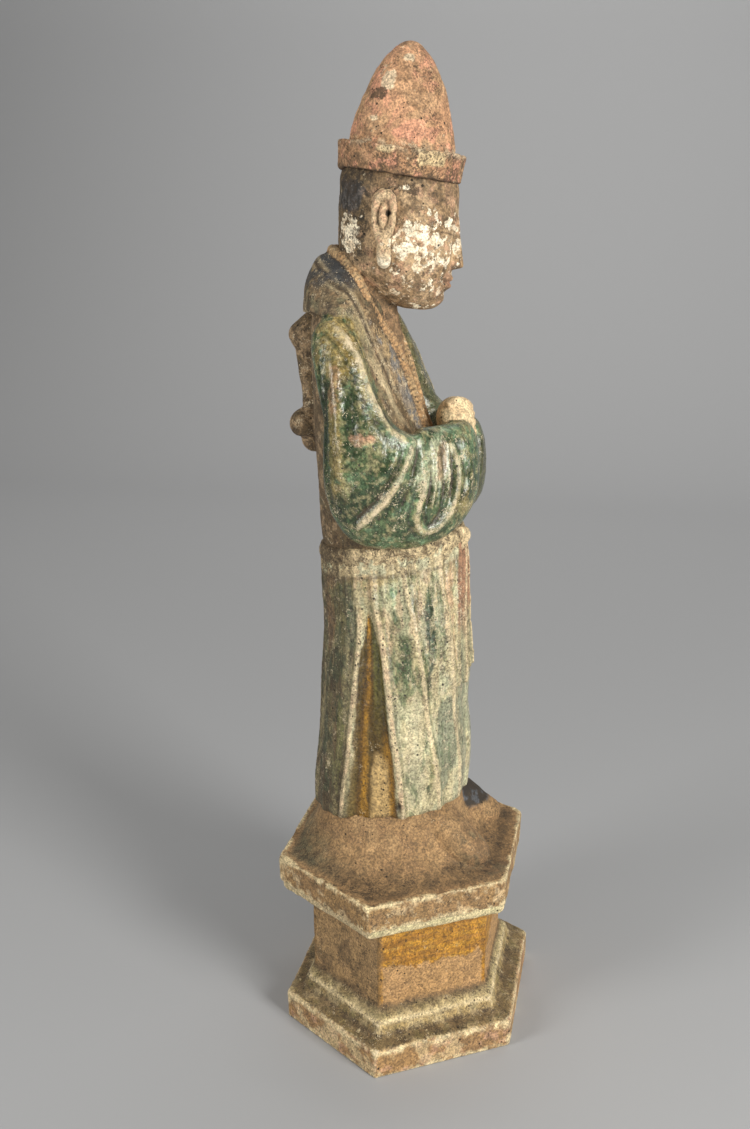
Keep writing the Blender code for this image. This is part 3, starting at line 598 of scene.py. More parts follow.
def tube_rings(line, radii, around, twist=0.0, pitch=1.0):
    """Rings round a line of points; with a twist it is two strands laid round each other."""
    way = np.gradient(line, axis=0)
    way /= np.linalg.norm(way, axis=1)[:, None]
    run = np.concatenate([[0.0], np.cumsum(np.linalg.norm(np.diff(line, axis=0), axis=1))])
    side = np.cross(way[0], (0.0, 0.0, 1.0))
    rings = []
    for point, forward, radius, gone in zip(line, way, radii, run):
        side = side - np.dot(side, forward) * forward
        side /= np.linalg.norm(side)
        up = np.cross(side, forward)
        a = np.radians(turn(around))[:, None]
        strand = 1.0 - twist + 1.5 * twist * np.abs(np.cos(a - math.pi * gone / pitch))
        rings.append(point + radius * strand * (np.cos(a) * side + np.sin(a) * up))
    return np.array(rings)


# Neck rings: height, front, back, half width
NECK = (
    (280.0, -6.0, 40.0, 5.0),
    (296.0, -2.5, 40.0, 7.0),
    (312.0, 0.0, 40.0, 7.5),
    (323.0, 1.5, 42.0, 10.0),
    (334.0, 4.0, 42.0, 13.0),
    (346.0, 6.0, 41.0, 17.0),
    (362.0, 4.0, 40.0, 21.0),
)


# Head, measured from its own middle: height, half width, front, back
HEAD_MIDDLE = (0.0, 4.0, 384.5)
HEAD_TILT = math.radians(7.0)
HEAD_TOP = 46.0
HEAD = (
    (-42.5, 5.5, -20.0, -7.0),
    (-41.0, 10.5, -24.5, 0.0),
    (-37.0, 16.5, -28.0, 10.0),
    (-31.0, 22.0, -30.5, 20.0),
    (-23.0, 27.0, -32.0, 29.0),
    (-12.0, 30.0, -33.0, 34.0),
    (2.0, 31.0, -33.5, 35.5),
    (16.0, 31.0, -32.5, 36.5),
    (30.0, 29.5, -30.0, 36.0),
    (40.0, 21.0, -20.0, 26.0),
    (HEAD_TOP, 6.0, -5.0, 8.0),
)
CHIN_LEVEL = HEAD[0][0]

# A plain face by the drawing-book rules: the eyes lie halfway up the head, the nose ends
# halfway from the brows to the chin, the mouth lies a third of the way below it, and the face is
# five eyes wide
EYE_LEVEL = (HEAD_TOP + CHIN_LEVEL) / 2
FACE_HALF = 31.0
EYE_WIDTH = 2 * FACE_HALF / 5
EYE_APART = EYE_WIDTH
BROW_LEVEL = EYE_LEVEL + 0.62 * EYE_WIDTH
NOSE_LEVEL = (BROW_LEVEL + CHIN_LEVEL) / 2
MOUTH_LEVEL = NOSE_LEVEL + (CHIN_LEVEL - NOSE_LEVEL) / 3
NOSE_OUT = 7.5
LID_HALF = 0.52 * EYE_WIDTH


def lid_lines(side):
    """The heights of the upper and the lower lid over a place beside the nose."""
    across = np.clip((side - EYE_APART) / LID_HALF, -1.0, 1.0)
    arch = 1.0 - across**2
    return EYE_LEVEL + 0.4 * across + 1.9 * arch, EYE_LEVEL + 0.4 * across - 1.3 * arch


# Hills and hollows of the face: height, distance from the middle, breadth, level and its reach
LIP_TOP = (NOSE_LEVEL + MOUTH_LEVEL) / 2
FACE_HILLS = (
    (2.6, 4.9, 1.7, NOSE_LEVEL + 2.0, 2.3),
    (-1.5, 2.7, 1.0, NOSE_LEVEL - 0.9, 0.9),
    (-2.9, EYE_APART - 1.0, 7.2, EYE_LEVEL + 1.0, 4.8),
    (2.7, EYE_APART, 5.6, EYE_LEVEL, 3.6),
    (1.8, 15.0, 8.0, NOSE_LEVEL + 3.0, 8.0),
    (1.0, 0.0, 13.0, MOUTH_LEVEL, 7.0),
    (-0.5, 0.0, 1.4, LIP_TOP + 0.8, 2.4),
    (-1.1, 0.0, 7.0, MOUTH_LEVEL - 6.6, 2.0),
    (1.9, 0.0, 8.0, CHIN_LEVEL + 6.0, 4.5),
)

# The same along the mouth's own bent line: height, distance, breadth, over the line, reach
MOUTH_HILLS = ((2.0, 0.0, 7.2, -2.3, 1.8), (-1.3, 0.0, 9.5, 0.0, 0.7), (-0.8, 10.2, 1.3, 0.0, 1.3))


def brow_line(side, level):
    """How far over the arch of the brow a place on the face lies."""
    return level - BROW_LEVEL - 0.6 + 0.03 * (side - EYE_APART) ** 2


def face_relief(x, level):
    """How far the face stands forward of the plain head, at x and a height on the head."""
    side = np.abs(x)
    nose_share = np.clip((BROW_LEVEL - level) / (BROW_LEVEL - NOSE_LEVEL), 0.0, 1.0)
    nose_half = 2.5 + 2.4 * nose_share**2
    below = 1.0 - ease(0.0, 3.6, NOSE_LEVEL + 1.2 - level)
    out = NOSE_OUT * (0.15 + 0.85 * nose_share**1.3) * bump(x, nose_half) * below
    out *= 1.0 - ease(BROW_LEVEL - 2.0, BROW_LEVEL + 5.0, level)
    for tall, apart, breadth, middle, reach in FACE_HILLS:
        out += tall * bump(side - apart, breadth) * bump(level - middle, reach)
    upper, lower = lid_lines(side)
    on_eye = 1.0 - ease(LID_HALF - 1.2, LID_HALF + 1.0, np.abs(side - EYE_APART))
    out += 0.75 * on_eye * bump(level - upper - 0.3, 0.75)
    out += 0.50 * on_eye * bump(level - lower + 0.3, 0.65)
    out -= 0.80 * on_eye * bump(level - (upper + lower) / 2, 0.8)
    out -= 0.45 * on_eye * bump(level - upper - 2.3, 0.8)
    out += 1.4 * bump(side - EYE_APART, 8.5) * bump(brow_line(side, level), 1.8)
    cheek_fold = side - 7.6 - 0.35 * (NOSE_LEVEL - level)
    out -= 0.5 * bump(cheek_fold, 1.2) * bump(level - LIP_TOP, 4.0)
    over_mouth = level - MOUTH_LEVEL - 0.012 * x**2
    for tall, apart, breadth, over, reach in MOUTH_HILLS:
        out += tall * bump(side - apart, breadth) * bump(over_mouth - over, reach)
    bow = 0.35 * bump(side - 2.6, 1.6) - 0.35 * bump(x, 1.3)
    return out + 1.9 * bump(x, 9.0) * bump(over_mouth - 1.9 - bow, 1.5)


def turned_head(points, back=False):
    """Turns points between the head's own measure and the figure's."""
    c, s = math.cos(HEAD_TILT), math.sin(HEAD_TILT)
    if back:
        x, y, z = np.moveaxis(points - np.array(HEAD_MIDDLE), -1, 0)
        return np.stack([x, y * c + z * s, z * c - y * s], -1)
    x, y, z = np.moveaxis(points, -1, 0)
    return np.stack([x, y * c - z * s, z * c + y * s], -1) + HEAD_MIDDLE


def head_rings(around, along):
    """Rings up the head, closer together round the face."""
    even = turn(around)
    across, back = oval(even - 22.0 * np.sin(np.radians(even)), 2.1)
    rings = []
    for level in np.linspace(CHIN_LEVEL, HEAD_TOP, along):
        half, front, rear = rows_at(HEAD, level)
        x = across * half
        y = (front + rear) / 2 + back * (rear - front) / 2
        facing = ease(0.15, 0.75, -back)
        y = y - face_relief(x, level) * facing
        rings.append(np.stack([x, y, np.full(around, level)], -1))
    return turned_head(np.array(rings))


# Ear sections from the top down to the long lobe, on the head: out, back, height,
# half thickness, half depth
EAR = (
    (30.5, 4.0, 21.5, 1.5, 2.5),
    (32.6, 3.8, 18.0, 3.4, 6.0),
    (33.8, 3.2, 10.5, 4.2, 7.0),
    (34.0, 2.4, 2.0, 4.0, 5.8),
    (33.4, 1.4, -6.0, 3.4, 4.0),
    (32.4, 0.8, -13.0, 3.7, 3.8),
    (31.2, 0.5, -18.0, 3.4, 3.4),
    (30.4, 0.4, -20.5, 1.2, 1.4),
)
# The ear's inside: middle backward and upward, half sizes
EAR_BOWL = (2.6, 8.0, 4.6, 10.5)
EAR_HOLE = (-0.6, 9.5)
EAR_HOLE_RADIUS = 2.3


def ear_rings(side, around, along):
    """A long leaf that stands out of the side of the head."""
    a = np.radians(turn(around))
    rings = []
    for out, back, level, thick, deep in smooth_rows(EAR, along):
        x = side * (out + thick * np.cos(a))
        y = back + deep * np.sin(a)
        rings.append(np.stack([x, y, np.full(around, level)], -1))
    return turned_head(np.array(rings))


# Hat profile: radius and height over the brim's lower edge, from inside the head up
BRIM_RADIUS_LOW = 34.6
BRIM_RADIUS_HIGH = 36.6
BRIM_WALL = 3.4
CROWN_RADIUS = 30.5
HAT_LEAN = 0.075
HAT_TILT = math.radians(8.2)
HAT_BACK = 3.4


def hat_profile(steps):
    """The brim's band, the groove behind it and the crown, which is a pointed arch."""
    tall = BRIM_HIGH - BRIM_LOW
    points = [(BRIM_RADIUS_LOW - 9.0, 2.0), (BRIM_RADIUS_LOW - 1.0, 0.0), (BRIM_RADIUS_LOW, 0.9)]
    points += [(BRIM_RADIUS_HIGH, tall - 1.0), (BRIM_RADIUS_HIGH - 0.8, tall)]
    points += [(BRIM_RADIUS_HIGH - BRIM_WALL, tall - 0.3), (CROWN_RADIUS + 0.3, tall - 3.0)]
    crown_foot = tall - 3.0
    crown_tall = HAT_TIP - BRIM_LOW - crown_foot
    for step in range(1, steps):
        share = math.sin(math.pi / 2 * step / (steps - 0.6))
        round_share = math.sqrt(max(0.0, 1.0 - share**1.75))
        radius = CROWN_RADIUS * (0.80 * round_share + 0.20 * (1.0 - share))
        points.append((radius, crown_foot + crown_tall * share))
    points.append((0.8, crown_foot + crown_tall))
    return points


def hat_rings(around, steps):
    a = np.radians(turn(around))
    rings = []
    for radius, over in hat_profile(steps):
        x = -radius * np.sin(a)
        level = max(0.0, 1.0 - (over / (HAT_TIP - BRIM_LOW)) ** 2)
        y = HAT_BACK - HAT_LEAN * over - radius * np.cos(a)
        z = BRIM_LOW + over + math.tan(HAT_TILT) * level * (y - HAT_BACK)
        rings.append(np.stack([x, y, z], -1))
    return np.array(rings)


# Clasped hands: the middle and the half sizes
HANDS_MIDDLE = (0.0, -30.5, 276.0)
HANDS_HALF = (16.0, 11.5, 13.5)
FINGER_PITCH = 5.2


def hands_rings(around, along):
    """A rounded lump, with the ridges of the upper hand's fingers across its front."""
    a = np.radians(turn(around))
    rings = []
    for share in np.linspace(-0.985, 0.985, along):
        size = math.sqrt(1.0 - share**2) ** 0.8
        x = HANDS_MIDDLE[0] + HANDS_HALF[0] * share
        forward = np.cos(a)
        ridge = 0.7 * np.cos(2 * math.pi * (HANDS_HALF[2] * np.sin(a) * size + 1.5 * share) / FINGER_PITCH)
        out = size + ridge / HANDS_HALF[1] * ease(0.0, 0.6, forward) * ease(-0.8, -0.2, share)
        y = HANDS_MIDDLE[1] - HANDS_HALF[1] * out * forward
        z = HANDS_MIDDLE[2] + HANDS_HALF[2] * size * np.sin(a)
        rings.append(np.stack([np.full(around, x), y, z + 0.12 * (y - HANDS_MIDDLE[1])], -1))
    return np.array(rings)


# The thumb that lies over the clasped fingers
THUMB = ((-13.0, -27.0, 285.5), (-6.0, -32.0, 288.0), (1.0, -36.5, 286.0), (4.5, -39.0, 282.5))
THUMB_RADIUS = 2.9

# Ribbons from the belt's knot: sideways at the top and the end, top and end height,
# half width and how far they stand out of the skirt
RIBBONS = ((-8.5, -20.0, 203.0, 116.0, 4.8, 2.9), (-0.5, -5.0, 201.5, 123.0, 4.6, 2.2))
RIBBON_BORDER = 1.2
KNOT_LOOP = (-9.0, -34.2, 205.5)
KNOT_LOOP_RADIUS = 4.4
KNOT_TUBE = 2.5
KNOT_LUMP = (-3.2, -36.6, 206.0)
KNOT_LUMP_HALF = (5.0, 4.2, 5.6)


def ribbon_rings(ribbon, across, along):
    """A flat strip with raised borders that lies down the front of the skirt."""
    top_x, end_x, top_height, end_height, half, thick = ribbon
    rings = []
    for share in np.linspace(0.0, 1.0, along):
        height = top_height + (end_height - top_height) * share
        x = top_x + (end_x - top_x) * share**0.8
        front, rear, wide = rows_at(SKIRT, min(height, SKIRT[-1][0]))
        place = np.linspace(-1.0, 1.0, across)
        sides = x + half * place
        deep = (rear - front) / 2 * np.sqrt(1.0 - (sides / wide) ** 2)
        surface = (front + rear) / 2 - deep
        border = RIBBON_BORDER * (bump(np.abs(place) - 0.8, 0.16) - bump(place, 0.4))
        lift = thick + 0.6 * math.sin(7.0 * share) + border
        outer = np.stack([sides, surface - lift, np.full(across, height)], -1)
        inner = np.stack([sides, surface + 3.0 + 2.0 * thick, np.full(across, height)], -1)
        rings.append(np.vstack([outer, inner[::-1]]))
    return np.array(rings)


def loop_line(middle, radius, tall, count, facing):
    """A closed loop of points round a middle, seen round from the side it faces."""
    a = np.linspace(0.0, 2 * math.pi, count)
    across = np.array((-math.sin(facing), math.cos(facing), 0.0))
    up = np.array((0.0, 0.0, tall))
    return np.array(middle) + radius * (np.cos(a)[:, None] * across + np.sin(a)[:, None] * up)


# Sash hanging down the back from the collar: height, how far back, half width, half thickness
SASH = (
    (338.0, 54.0, 4.0, 6.0),
    (334.0, 56.0, 8.0, 8.8),
    (330.0, 58.2, 10.5, 11.0),
    (325.5, 59.3, 11.0, 12.0),
    (320.5, 59.0, 10.5, 11.0),
    (316.0, 57.8, 9.5, 9.4),
    (311.0, 57.5, 9.2, 9.0),
    (302.0, 57.0, 9.8, 8.2),
    (292.0, 56.0, 10.6, 7.5),
    (278.0, 55.0, 12.0, 7.2),
)
BOW_MIDDLE = (0.0, 58.5, 273.0)
BOW_KNOT = (6.5, 8.0, 11.5)
BOW_APART = 9.5
BOW_LOOP = (12.0, 10.8, 9.5)
BOW_TAIL = (7.0, 55.0, 264.0)
BOW_TAIL_HALF = (6.5, 8.0, 9.0)
BOW_CREASES = (8.0, -2.0, -11.0)


def sash_rings(around, along):
    across, back = oval(turn(around), 2.6)
    rings = []
    for height, rear, half, thick in smooth_rows(SASH, along):
        rings.append(np.stack([across * half, rear + back * thick, np.full(around, height)], -1))
    return np.array(rings)


def ball_rings(middle, half, around, along):
    """A ball with its own half size each way."""
    a = np.radians(turn(around))
    rings = []
    for rise in np.linspace(-0.5, 0.5, along + 2)[1:-1] * math.pi:
        x = half[0] * math.cos(rise) * np.sin(a)
        y = half[1] * math.cos(rise) * np.cos(a)
        z = np.full(around, half[2] * math.sin(rise))
        rings.append(np.stack([x, y, z], -1) + middle)
    return np.array(rings)


def hexagon(half_width, half_depth, half_edge, middle, height):
    y = middle + ORIGIN_SHIFT
    front, corner, rear = y - half_depth, y + SIDE_CORNER_BACK, y + half_depth
    across = (-half_edge, half_edge, half_width, half_edge, -half_edge, -half_width)
    return [(x, y, height) for x, y in zip(across, (front, front, corner, rear, rear, corner))]


def hexagon_rings(levels):
    """A ring for each level: the sizes, how far outside them, the middle and the height."""
    rings = []
    for (half_width, half_depth, half_edge), out, middle, z in levels:
        side = out / math.cos(math.radians(30))
        rings.append(hexagon(half_width + side, half_depth + out, half_edge + side / 2, middle, z))
    return (np.array(rings) - (0.0, ORIGIN_SHIFT, SLAB_TOP)) / UNIT


BASE_SIZES = (BASE_HALF_WIDTH, BASE_HALF_DEPTH, BASE_HALF_EDGE)
WAIST_SIZES = (WAIST_HALF_WIDTH, WAIST_HALF_DEPTH, WAIST_HALF_EDGE)
SLAB_SIZES = (SLAB_HALF_WIDTH, SLAB_HALF_DEPTH, SLAB_HALF_EDGE)
# How far the band runs up into the slab
BAND_SINK = 0.0040


def plinth_rings():
    """Base, step, sloping foot, waist and band, from the ground up, in units."""
    step_middle = (BASE_MIDDLE + WAIST_MIDDLE) / 2
    return hexagon_rings([
        (BASE_SIZES, 0.0, BASE_MIDDLE, 0.0),
        (BASE_SIZES, 0.0, BASE_MIDDLE, BASE_THICK),
        (BASE_SIZES, -STEP_INSET, step_middle, STEP_LOW),
        (BASE_SIZES, -STEP_INSET - STEP_TAPER, step_middle, STEP_TOP),
        (WAIST_SIZES, 0.0, WAIST_MIDDLE, FOOT_TOP),
        (WAIST_SIZES, 0.0, WAIST_MIDDLE, WAIST_TOP),
        (WAIST_SIZES, BAND_OUTSET * 0.88, SLAB_MIDDLE, WAIST_TOP + BAND_THICK * 0.22),
        (WAIST_SIZES, BAND_OUTSET, SLAB_MIDDLE, WAIST_TOP + BAND_THICK * 0.45),
        (WAIST_SIZES, BAND_OUTSET, SLAB_MIDDLE, WAIST_TOP + BAND_THICK + BAND_SINK),
    ])


def slab_rings():
    low = SLAB_TOP - SLAB_THICK
    return hexagon_rings([(SLAB_SIZES, 0.0, SLAB_MIDDLE, z) for z in (low, SLAB_TOP)])


def slab_margin(points):
    """How far inside the slab's outline each point lies, seen from above."""
    corners = slab_rings()[0][:, 0:2]
    margin = np.full(len(points), FAR)
    for first, last in zip(corners, np.roll(corners, -1, axis=0)):
        way = (last - first) / np.linalg.norm(last - first)
        inner = np.array((-way[1], way[0]))
        margin = np.minimum(margin, (points[:, 0:2] - first) @ inner)
    return margin


def corner_margin(points):
    """How far each point lies from the nearest upright corner of the waist."""
    corners = hexagon_rings([(WAIST_SIZES, 0.0, WAIST_MIDDLE, 0.0)])[0][:, 0:2]
    return np.linalg.norm(points[:, None, 0:2] - corners[None], axis=2).min(axis=1)


# A piece while it is worked on

class Skin:
    """One closed skin round its forms: the points, in units, and what each of them wears.

    The tint shows, and where cover is high the second tint does, in ragged patches. Coat is 1
    on glaze and 0 on bare clay. Pits, dirt with painted shade in hollows, and flecks say how much of each
    there is.
    """

    def __init__(self, forms, grain, tint, second):
        points, faces = [], []
        tree = KDTree(sum(rings[..., 0].size for rings in forms.values()))
        self.forms = list(forms)
        for index, rings in enumerate(forms.values()):
            start = len(points)
            count, around = rings.shape[:2]
            points += [tuple(p) for p in rings.reshape(-1, 3)]
            for point in points[start:]:
                tree.insert(Vector(point), index)
            points += [tuple(rings[0].mean(axis=0)), tuple(rings[-1].mean(axis=0))]
            sides = [(i, (i + 1) % around) for i in range(around)]
            for low in range(start, start + (count - 1) * around, around):
                faces += [(low + i, low + j, low + around + j, low + around + i) for i, j in sides]
            top, foot_cap = start + (count - 1) * around, start + count * around
            for i, j in sides:
                faces += [(start + j, start + i, foot_cap), (top + i, top + j, foot_cap + 1)]
        tree.balance()
        source = bpy.data.meshes.new("forms")
        source.from_pydata(points, [], faces)
        holder = new_object("forms", source)
        remesh = holder.modifiers.new("skin", "REMESH")
        remesh.mode = "VOXEL"
        remesh.voxel_size = grain
        graph = bpy.context.evaluated_depsgraph_get()
        self.mesh = bpy.data.meshes.new_from_object(holder.evaluated_get(graph))
        bpy.data.objects.remove(holder)
        count = len(self.mesh.vertices)
        flat = np.empty(count * 3)
        self.mesh.vertices.foreach_get("co", flat)
        self.points = flat.reshape(-1, 3)
        pairs = np.empty(len(self.mesh.edges) * 2, np.int64)
        self.mesh.edges.foreach_get("vertices", pairs)
        self.pairs = pairs.reshape(-1, 2)
        self.degree = np.bincount(pairs, minlength=count).astype(float)
        self.form = np.array([tree.find(Vector(p))[1] for p in self.points])
        self.refresh()
        self.tint = np.tile(tint, (count, 1))
        self.second = np.tile(second, (count, 1))
        self.cover = self.coat = self.pits = self.grime_and_shade = self.flecks = np.zeros(count)

    def spread(self, values):
        """The mean of each point's neighbours."""
        a, b = self.pairs.T
        count = len(self.points)
        if values.ndim == 1:
            total = np.bincount(a, values[b], count) + np.bincount(b, values[a], count)
            return total / self.degree
        return np.stack([self.spread(values[:, c]) for c in range(values.shape[1])], -1)

    def soften(self, values, times):
        for _ in range(times):
            values = 0.5 * values + 0.5 * self.spread(values)
        return values

    def smooth(self, times, where=1.0):
        """Softens the form itself, fully where the mask is 1."""
        share = np.broadcast_to(np.asarray(where, float), len(self.points))[:, None]
        self.points = self.points * (1.0 - share) + self.soften(self.points, times) * share
        self.refresh()

    def refresh(self):
        """The outward way at each point."""
        self.mesh.vertices.foreach_set("co", self.points.ravel())
        self.mesh.update()
        flat = np.empty(len(self.points) * 3, np.float32)
        self.mesh.vertex_normals.foreach_get("vector", flat)
        self.normals = flat.reshape(-1, 3).astype(float)

    def push(self, amount):
        """Moves every point outward by its amount."""
        self.points = self.points + self.normals * np.asarray(amount)[..., None]
        self.refresh()

    def hollow(self, times):
        """Above 0 in hollows and below 0 on edges, about from -1 to 1."""
        lift = self.soften(self.points, times)
        return np.sum((lift - self.points) * self.normals, axis=1) / (0.25 * math.sqrt(times))

    def part(self, word):
        """1 where a point belongs to a form whose name starts with the word."""
        wanted = [i for i, name in enumerate(self.forms) if name.startswith(word)]
        return np.isin(self.form, wanted).astype(float)

    def spots(self, size, seed, share, soft=0.06, stretch=(1.0, 1.0, 1.0), layers=5):
        """Ragged patches of about this size that take up the given share of the skin."""
        value = clouds(self.points * stretch, size, seed, layers)
        rank = np.empty(len(value))
        rank[np.argsort(value)] = np.linspace(0.0, 1.0, len(value))
        return ease(-soft, soft, rank - 1.0 + share) * (np.asarray(share) > 0.0)

    def lay(self, mask, colour, second=False):
        """Lays a colour over the tint, or over the second tint, where the mask is 1."""
        share = np.clip(np.asarray(mask, float), 0.0, 1.0)[:, None]
        if second:
            self.second = self.second * (1.0 - share) + colour * share
        else:
            self.tint = self.tint * (1.0 - share) + colour * share

    def patches(self, where, *rows, stretch=(1.0, 1.0, 1.0)):
        """Lays patches within the mask, a row for each colour: what spots asks, how much, colour."""
        for size, seed, share, soft, strength, colour in rows:
            self.lay(where * self.spots(size, seed, share, soft, stretch) * strength, colour)

    def finish(self, name, material):
        """Makes the piece, in metres, with all that its material reads."""
        low, high = (np.array(corner) for corner in SOLID_BOX)
        placed = np.clip(self.points * UNIT + (0.0, ORIGIN_SHIFT, SLAB_TOP), low, high)
        self.mesh.vertices.foreach_set("co", placed.ravel())
        self.mesh.name = name
        facts = np.stack([self.cover, self.coat, self.pits], -1)
        # This layer holds the dirt, thicker in hollows as painted shade, and the pale flecks of wear
        wear = np.stack([self.grime_and_shade, self.flecks, np.zeros(len(placed))], -1)
        layers = (("tint", self.tint), ("second", self.second), ("facts", facts), ("wear", wear))
        for word, values in layers:
            solid = np.ones((len(values), 4), np.float32)
            solid[:, 0:3] = np.clip(values, 0.0, 1.0)
            layer = self.mesh.attributes.new(word, "FLOAT_COLOR", "POINT")
            layer.data.foreach_set("color", solid.ravel())
        self.mesh.shade_smooth()
        self.mesh.materials.clear()
        self.mesh.materials.append(material)
        self.mesh.update()
        piece = new_object(name, self.mesh)
        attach(piece, "root")
        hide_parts(NAME)


AT_ONCE = 20000


def near_line(points, line, reach):
    """Distance from each point to a line of points, and the place along it from 0 to 1."""
    gap = np.full(len(points), FAR)
    place = np.zeros(len(points))
    low, high = line.min(axis=0) - reach, line.max(axis=0) + reach
    close = np.flatnonzero(np.all((points > low) & (points < high), axis=1))
    for some in np.array_split(close, max(1, len(close) // AT_ONCE)):
        apart = np.linalg.norm(points[some][:, None] - line[None], axis=2)
        gap[some] = apart.min(axis=1)
        place[some] = apart.argmin(axis=1) / (len(line) - 1)
    return gap, place


def outermost(skin, path, side, count=48):
    """A line over the side of the skin through places given backward and upward."""
    flat = smooth_rows(path, count)
    mine = skin.points[:, 0] * side > 0
    points = skin.points[mine]
    line = []
    for y, z in flat:
        apart = np.hypot(points[:, 1] - y, points[:, 2] - z)
        close = apart < max(1.5, apart.min() + 0.3)
        line.append(((points[close, 0] * side).max() * side, y, z))
    return smooth_rows(line, 5 * count)


def daub(first, second, middle, half, rough):
    """An oval daub over two coordinates, 1 inside it, with an edge broken by the roughness."""
    away = np.hypot((first - middle[0]) / half[0], (second - middle[1]) / half[1])
    return ease(1.15, 0.8, away + 0.30 * rough)


# Materials

class Nodes:
    """Shorter words for building a node tree."""

    def __init__(self, tree):
        self.tree = tree

    def add(self, kind, *inputs, **settings):
        node = self.tree.nodes.new(kind)
        for word, value in settings.items():
            setattr(node, word, value)
        for socket, value in inputs:
            if isinstance(value, bpy.types.NodeSocket):
                self.tree.links.new(value, node.inputs[socket])
            else:
                node.inputs[socket].default_value = value
        return node

    def math(self, operation, *values):
        return self.add("ShaderNodeMath", *enumerate(values), operation=operation).outputs[0]

    def times(self, *values):
        product = values[0]
        for value in values[1:]:
            product = self.math("MULTIPLY", product, value)
        return product

    def ramp(self, value, low, high, first=0.0, last=1.0):
        """Values from low to high brought to between first and last."""
        inputs = ((0, value), (1, low), (2, high), (3, first), (4, last))
        return self.add("ShaderNodeMapRange", *inputs, interpolation_type="SMOOTHSTEP").outputs[0]

    def cloud(self, place, size, detail=4.0, roughness=0.6):
        inputs = (("Vector", place), ("Scale", 1.0 / size), ("Detail", detail),
                  ("Roughness", roughness))
        return self.add("ShaderNodeTexNoise", *inputs).outputs["Fac"]

    def mix(self, share, first, last, kind="MIX"):
        inputs = ((0, share), (6, first), (7, last))
        return self.add("ShaderNodeMix", *inputs, data_type="RGBA", blend_type=kind).outputs[2]

    def broken(self, place, amount, fine, coarse, least, most):
        """Broken specks: none where the amount is 0, and most of the ground where it is 1."""
        noise = self.math("ADD", self.times(self.cloud(place, fine, 4.0, 0.72), 0.62),
                          self.times(self.cloud(place, coarse, 3.0, 0.6), 0.38))
        level = self.math("MULTIPLY_ADD", amount, most - least, least)
        return self.ramp(self.math("SUBTRACT", noise, level), -0.008, 0.022)


# Sizes of the noise, in metres
FINE = 0.0013
MIDDLING = 0.0042
RUN_WIDTH = 0.0030
CRAZE = 0.0024
PINHOLE = 0.0019
SWELL = 0.0052
GRIT = 0.0011

# How far the other layers lift or lower the surface, in the bump's own measure
SWELL_RISE = 0.85
SECOND_RISE = 0.10
WORN_RISE = 0.07
DIRT_AND_SHADE_RISE = -0.09
HOLE_RISE = -0.50
CRAZE_RISE = -0.03

# How much rougher the second tint is, and the specks of dirt and painted shade, and the wear
SECOND_DULL = 0.2
WORN_DULL = 0.34
GLAZE_IOR = 1.62


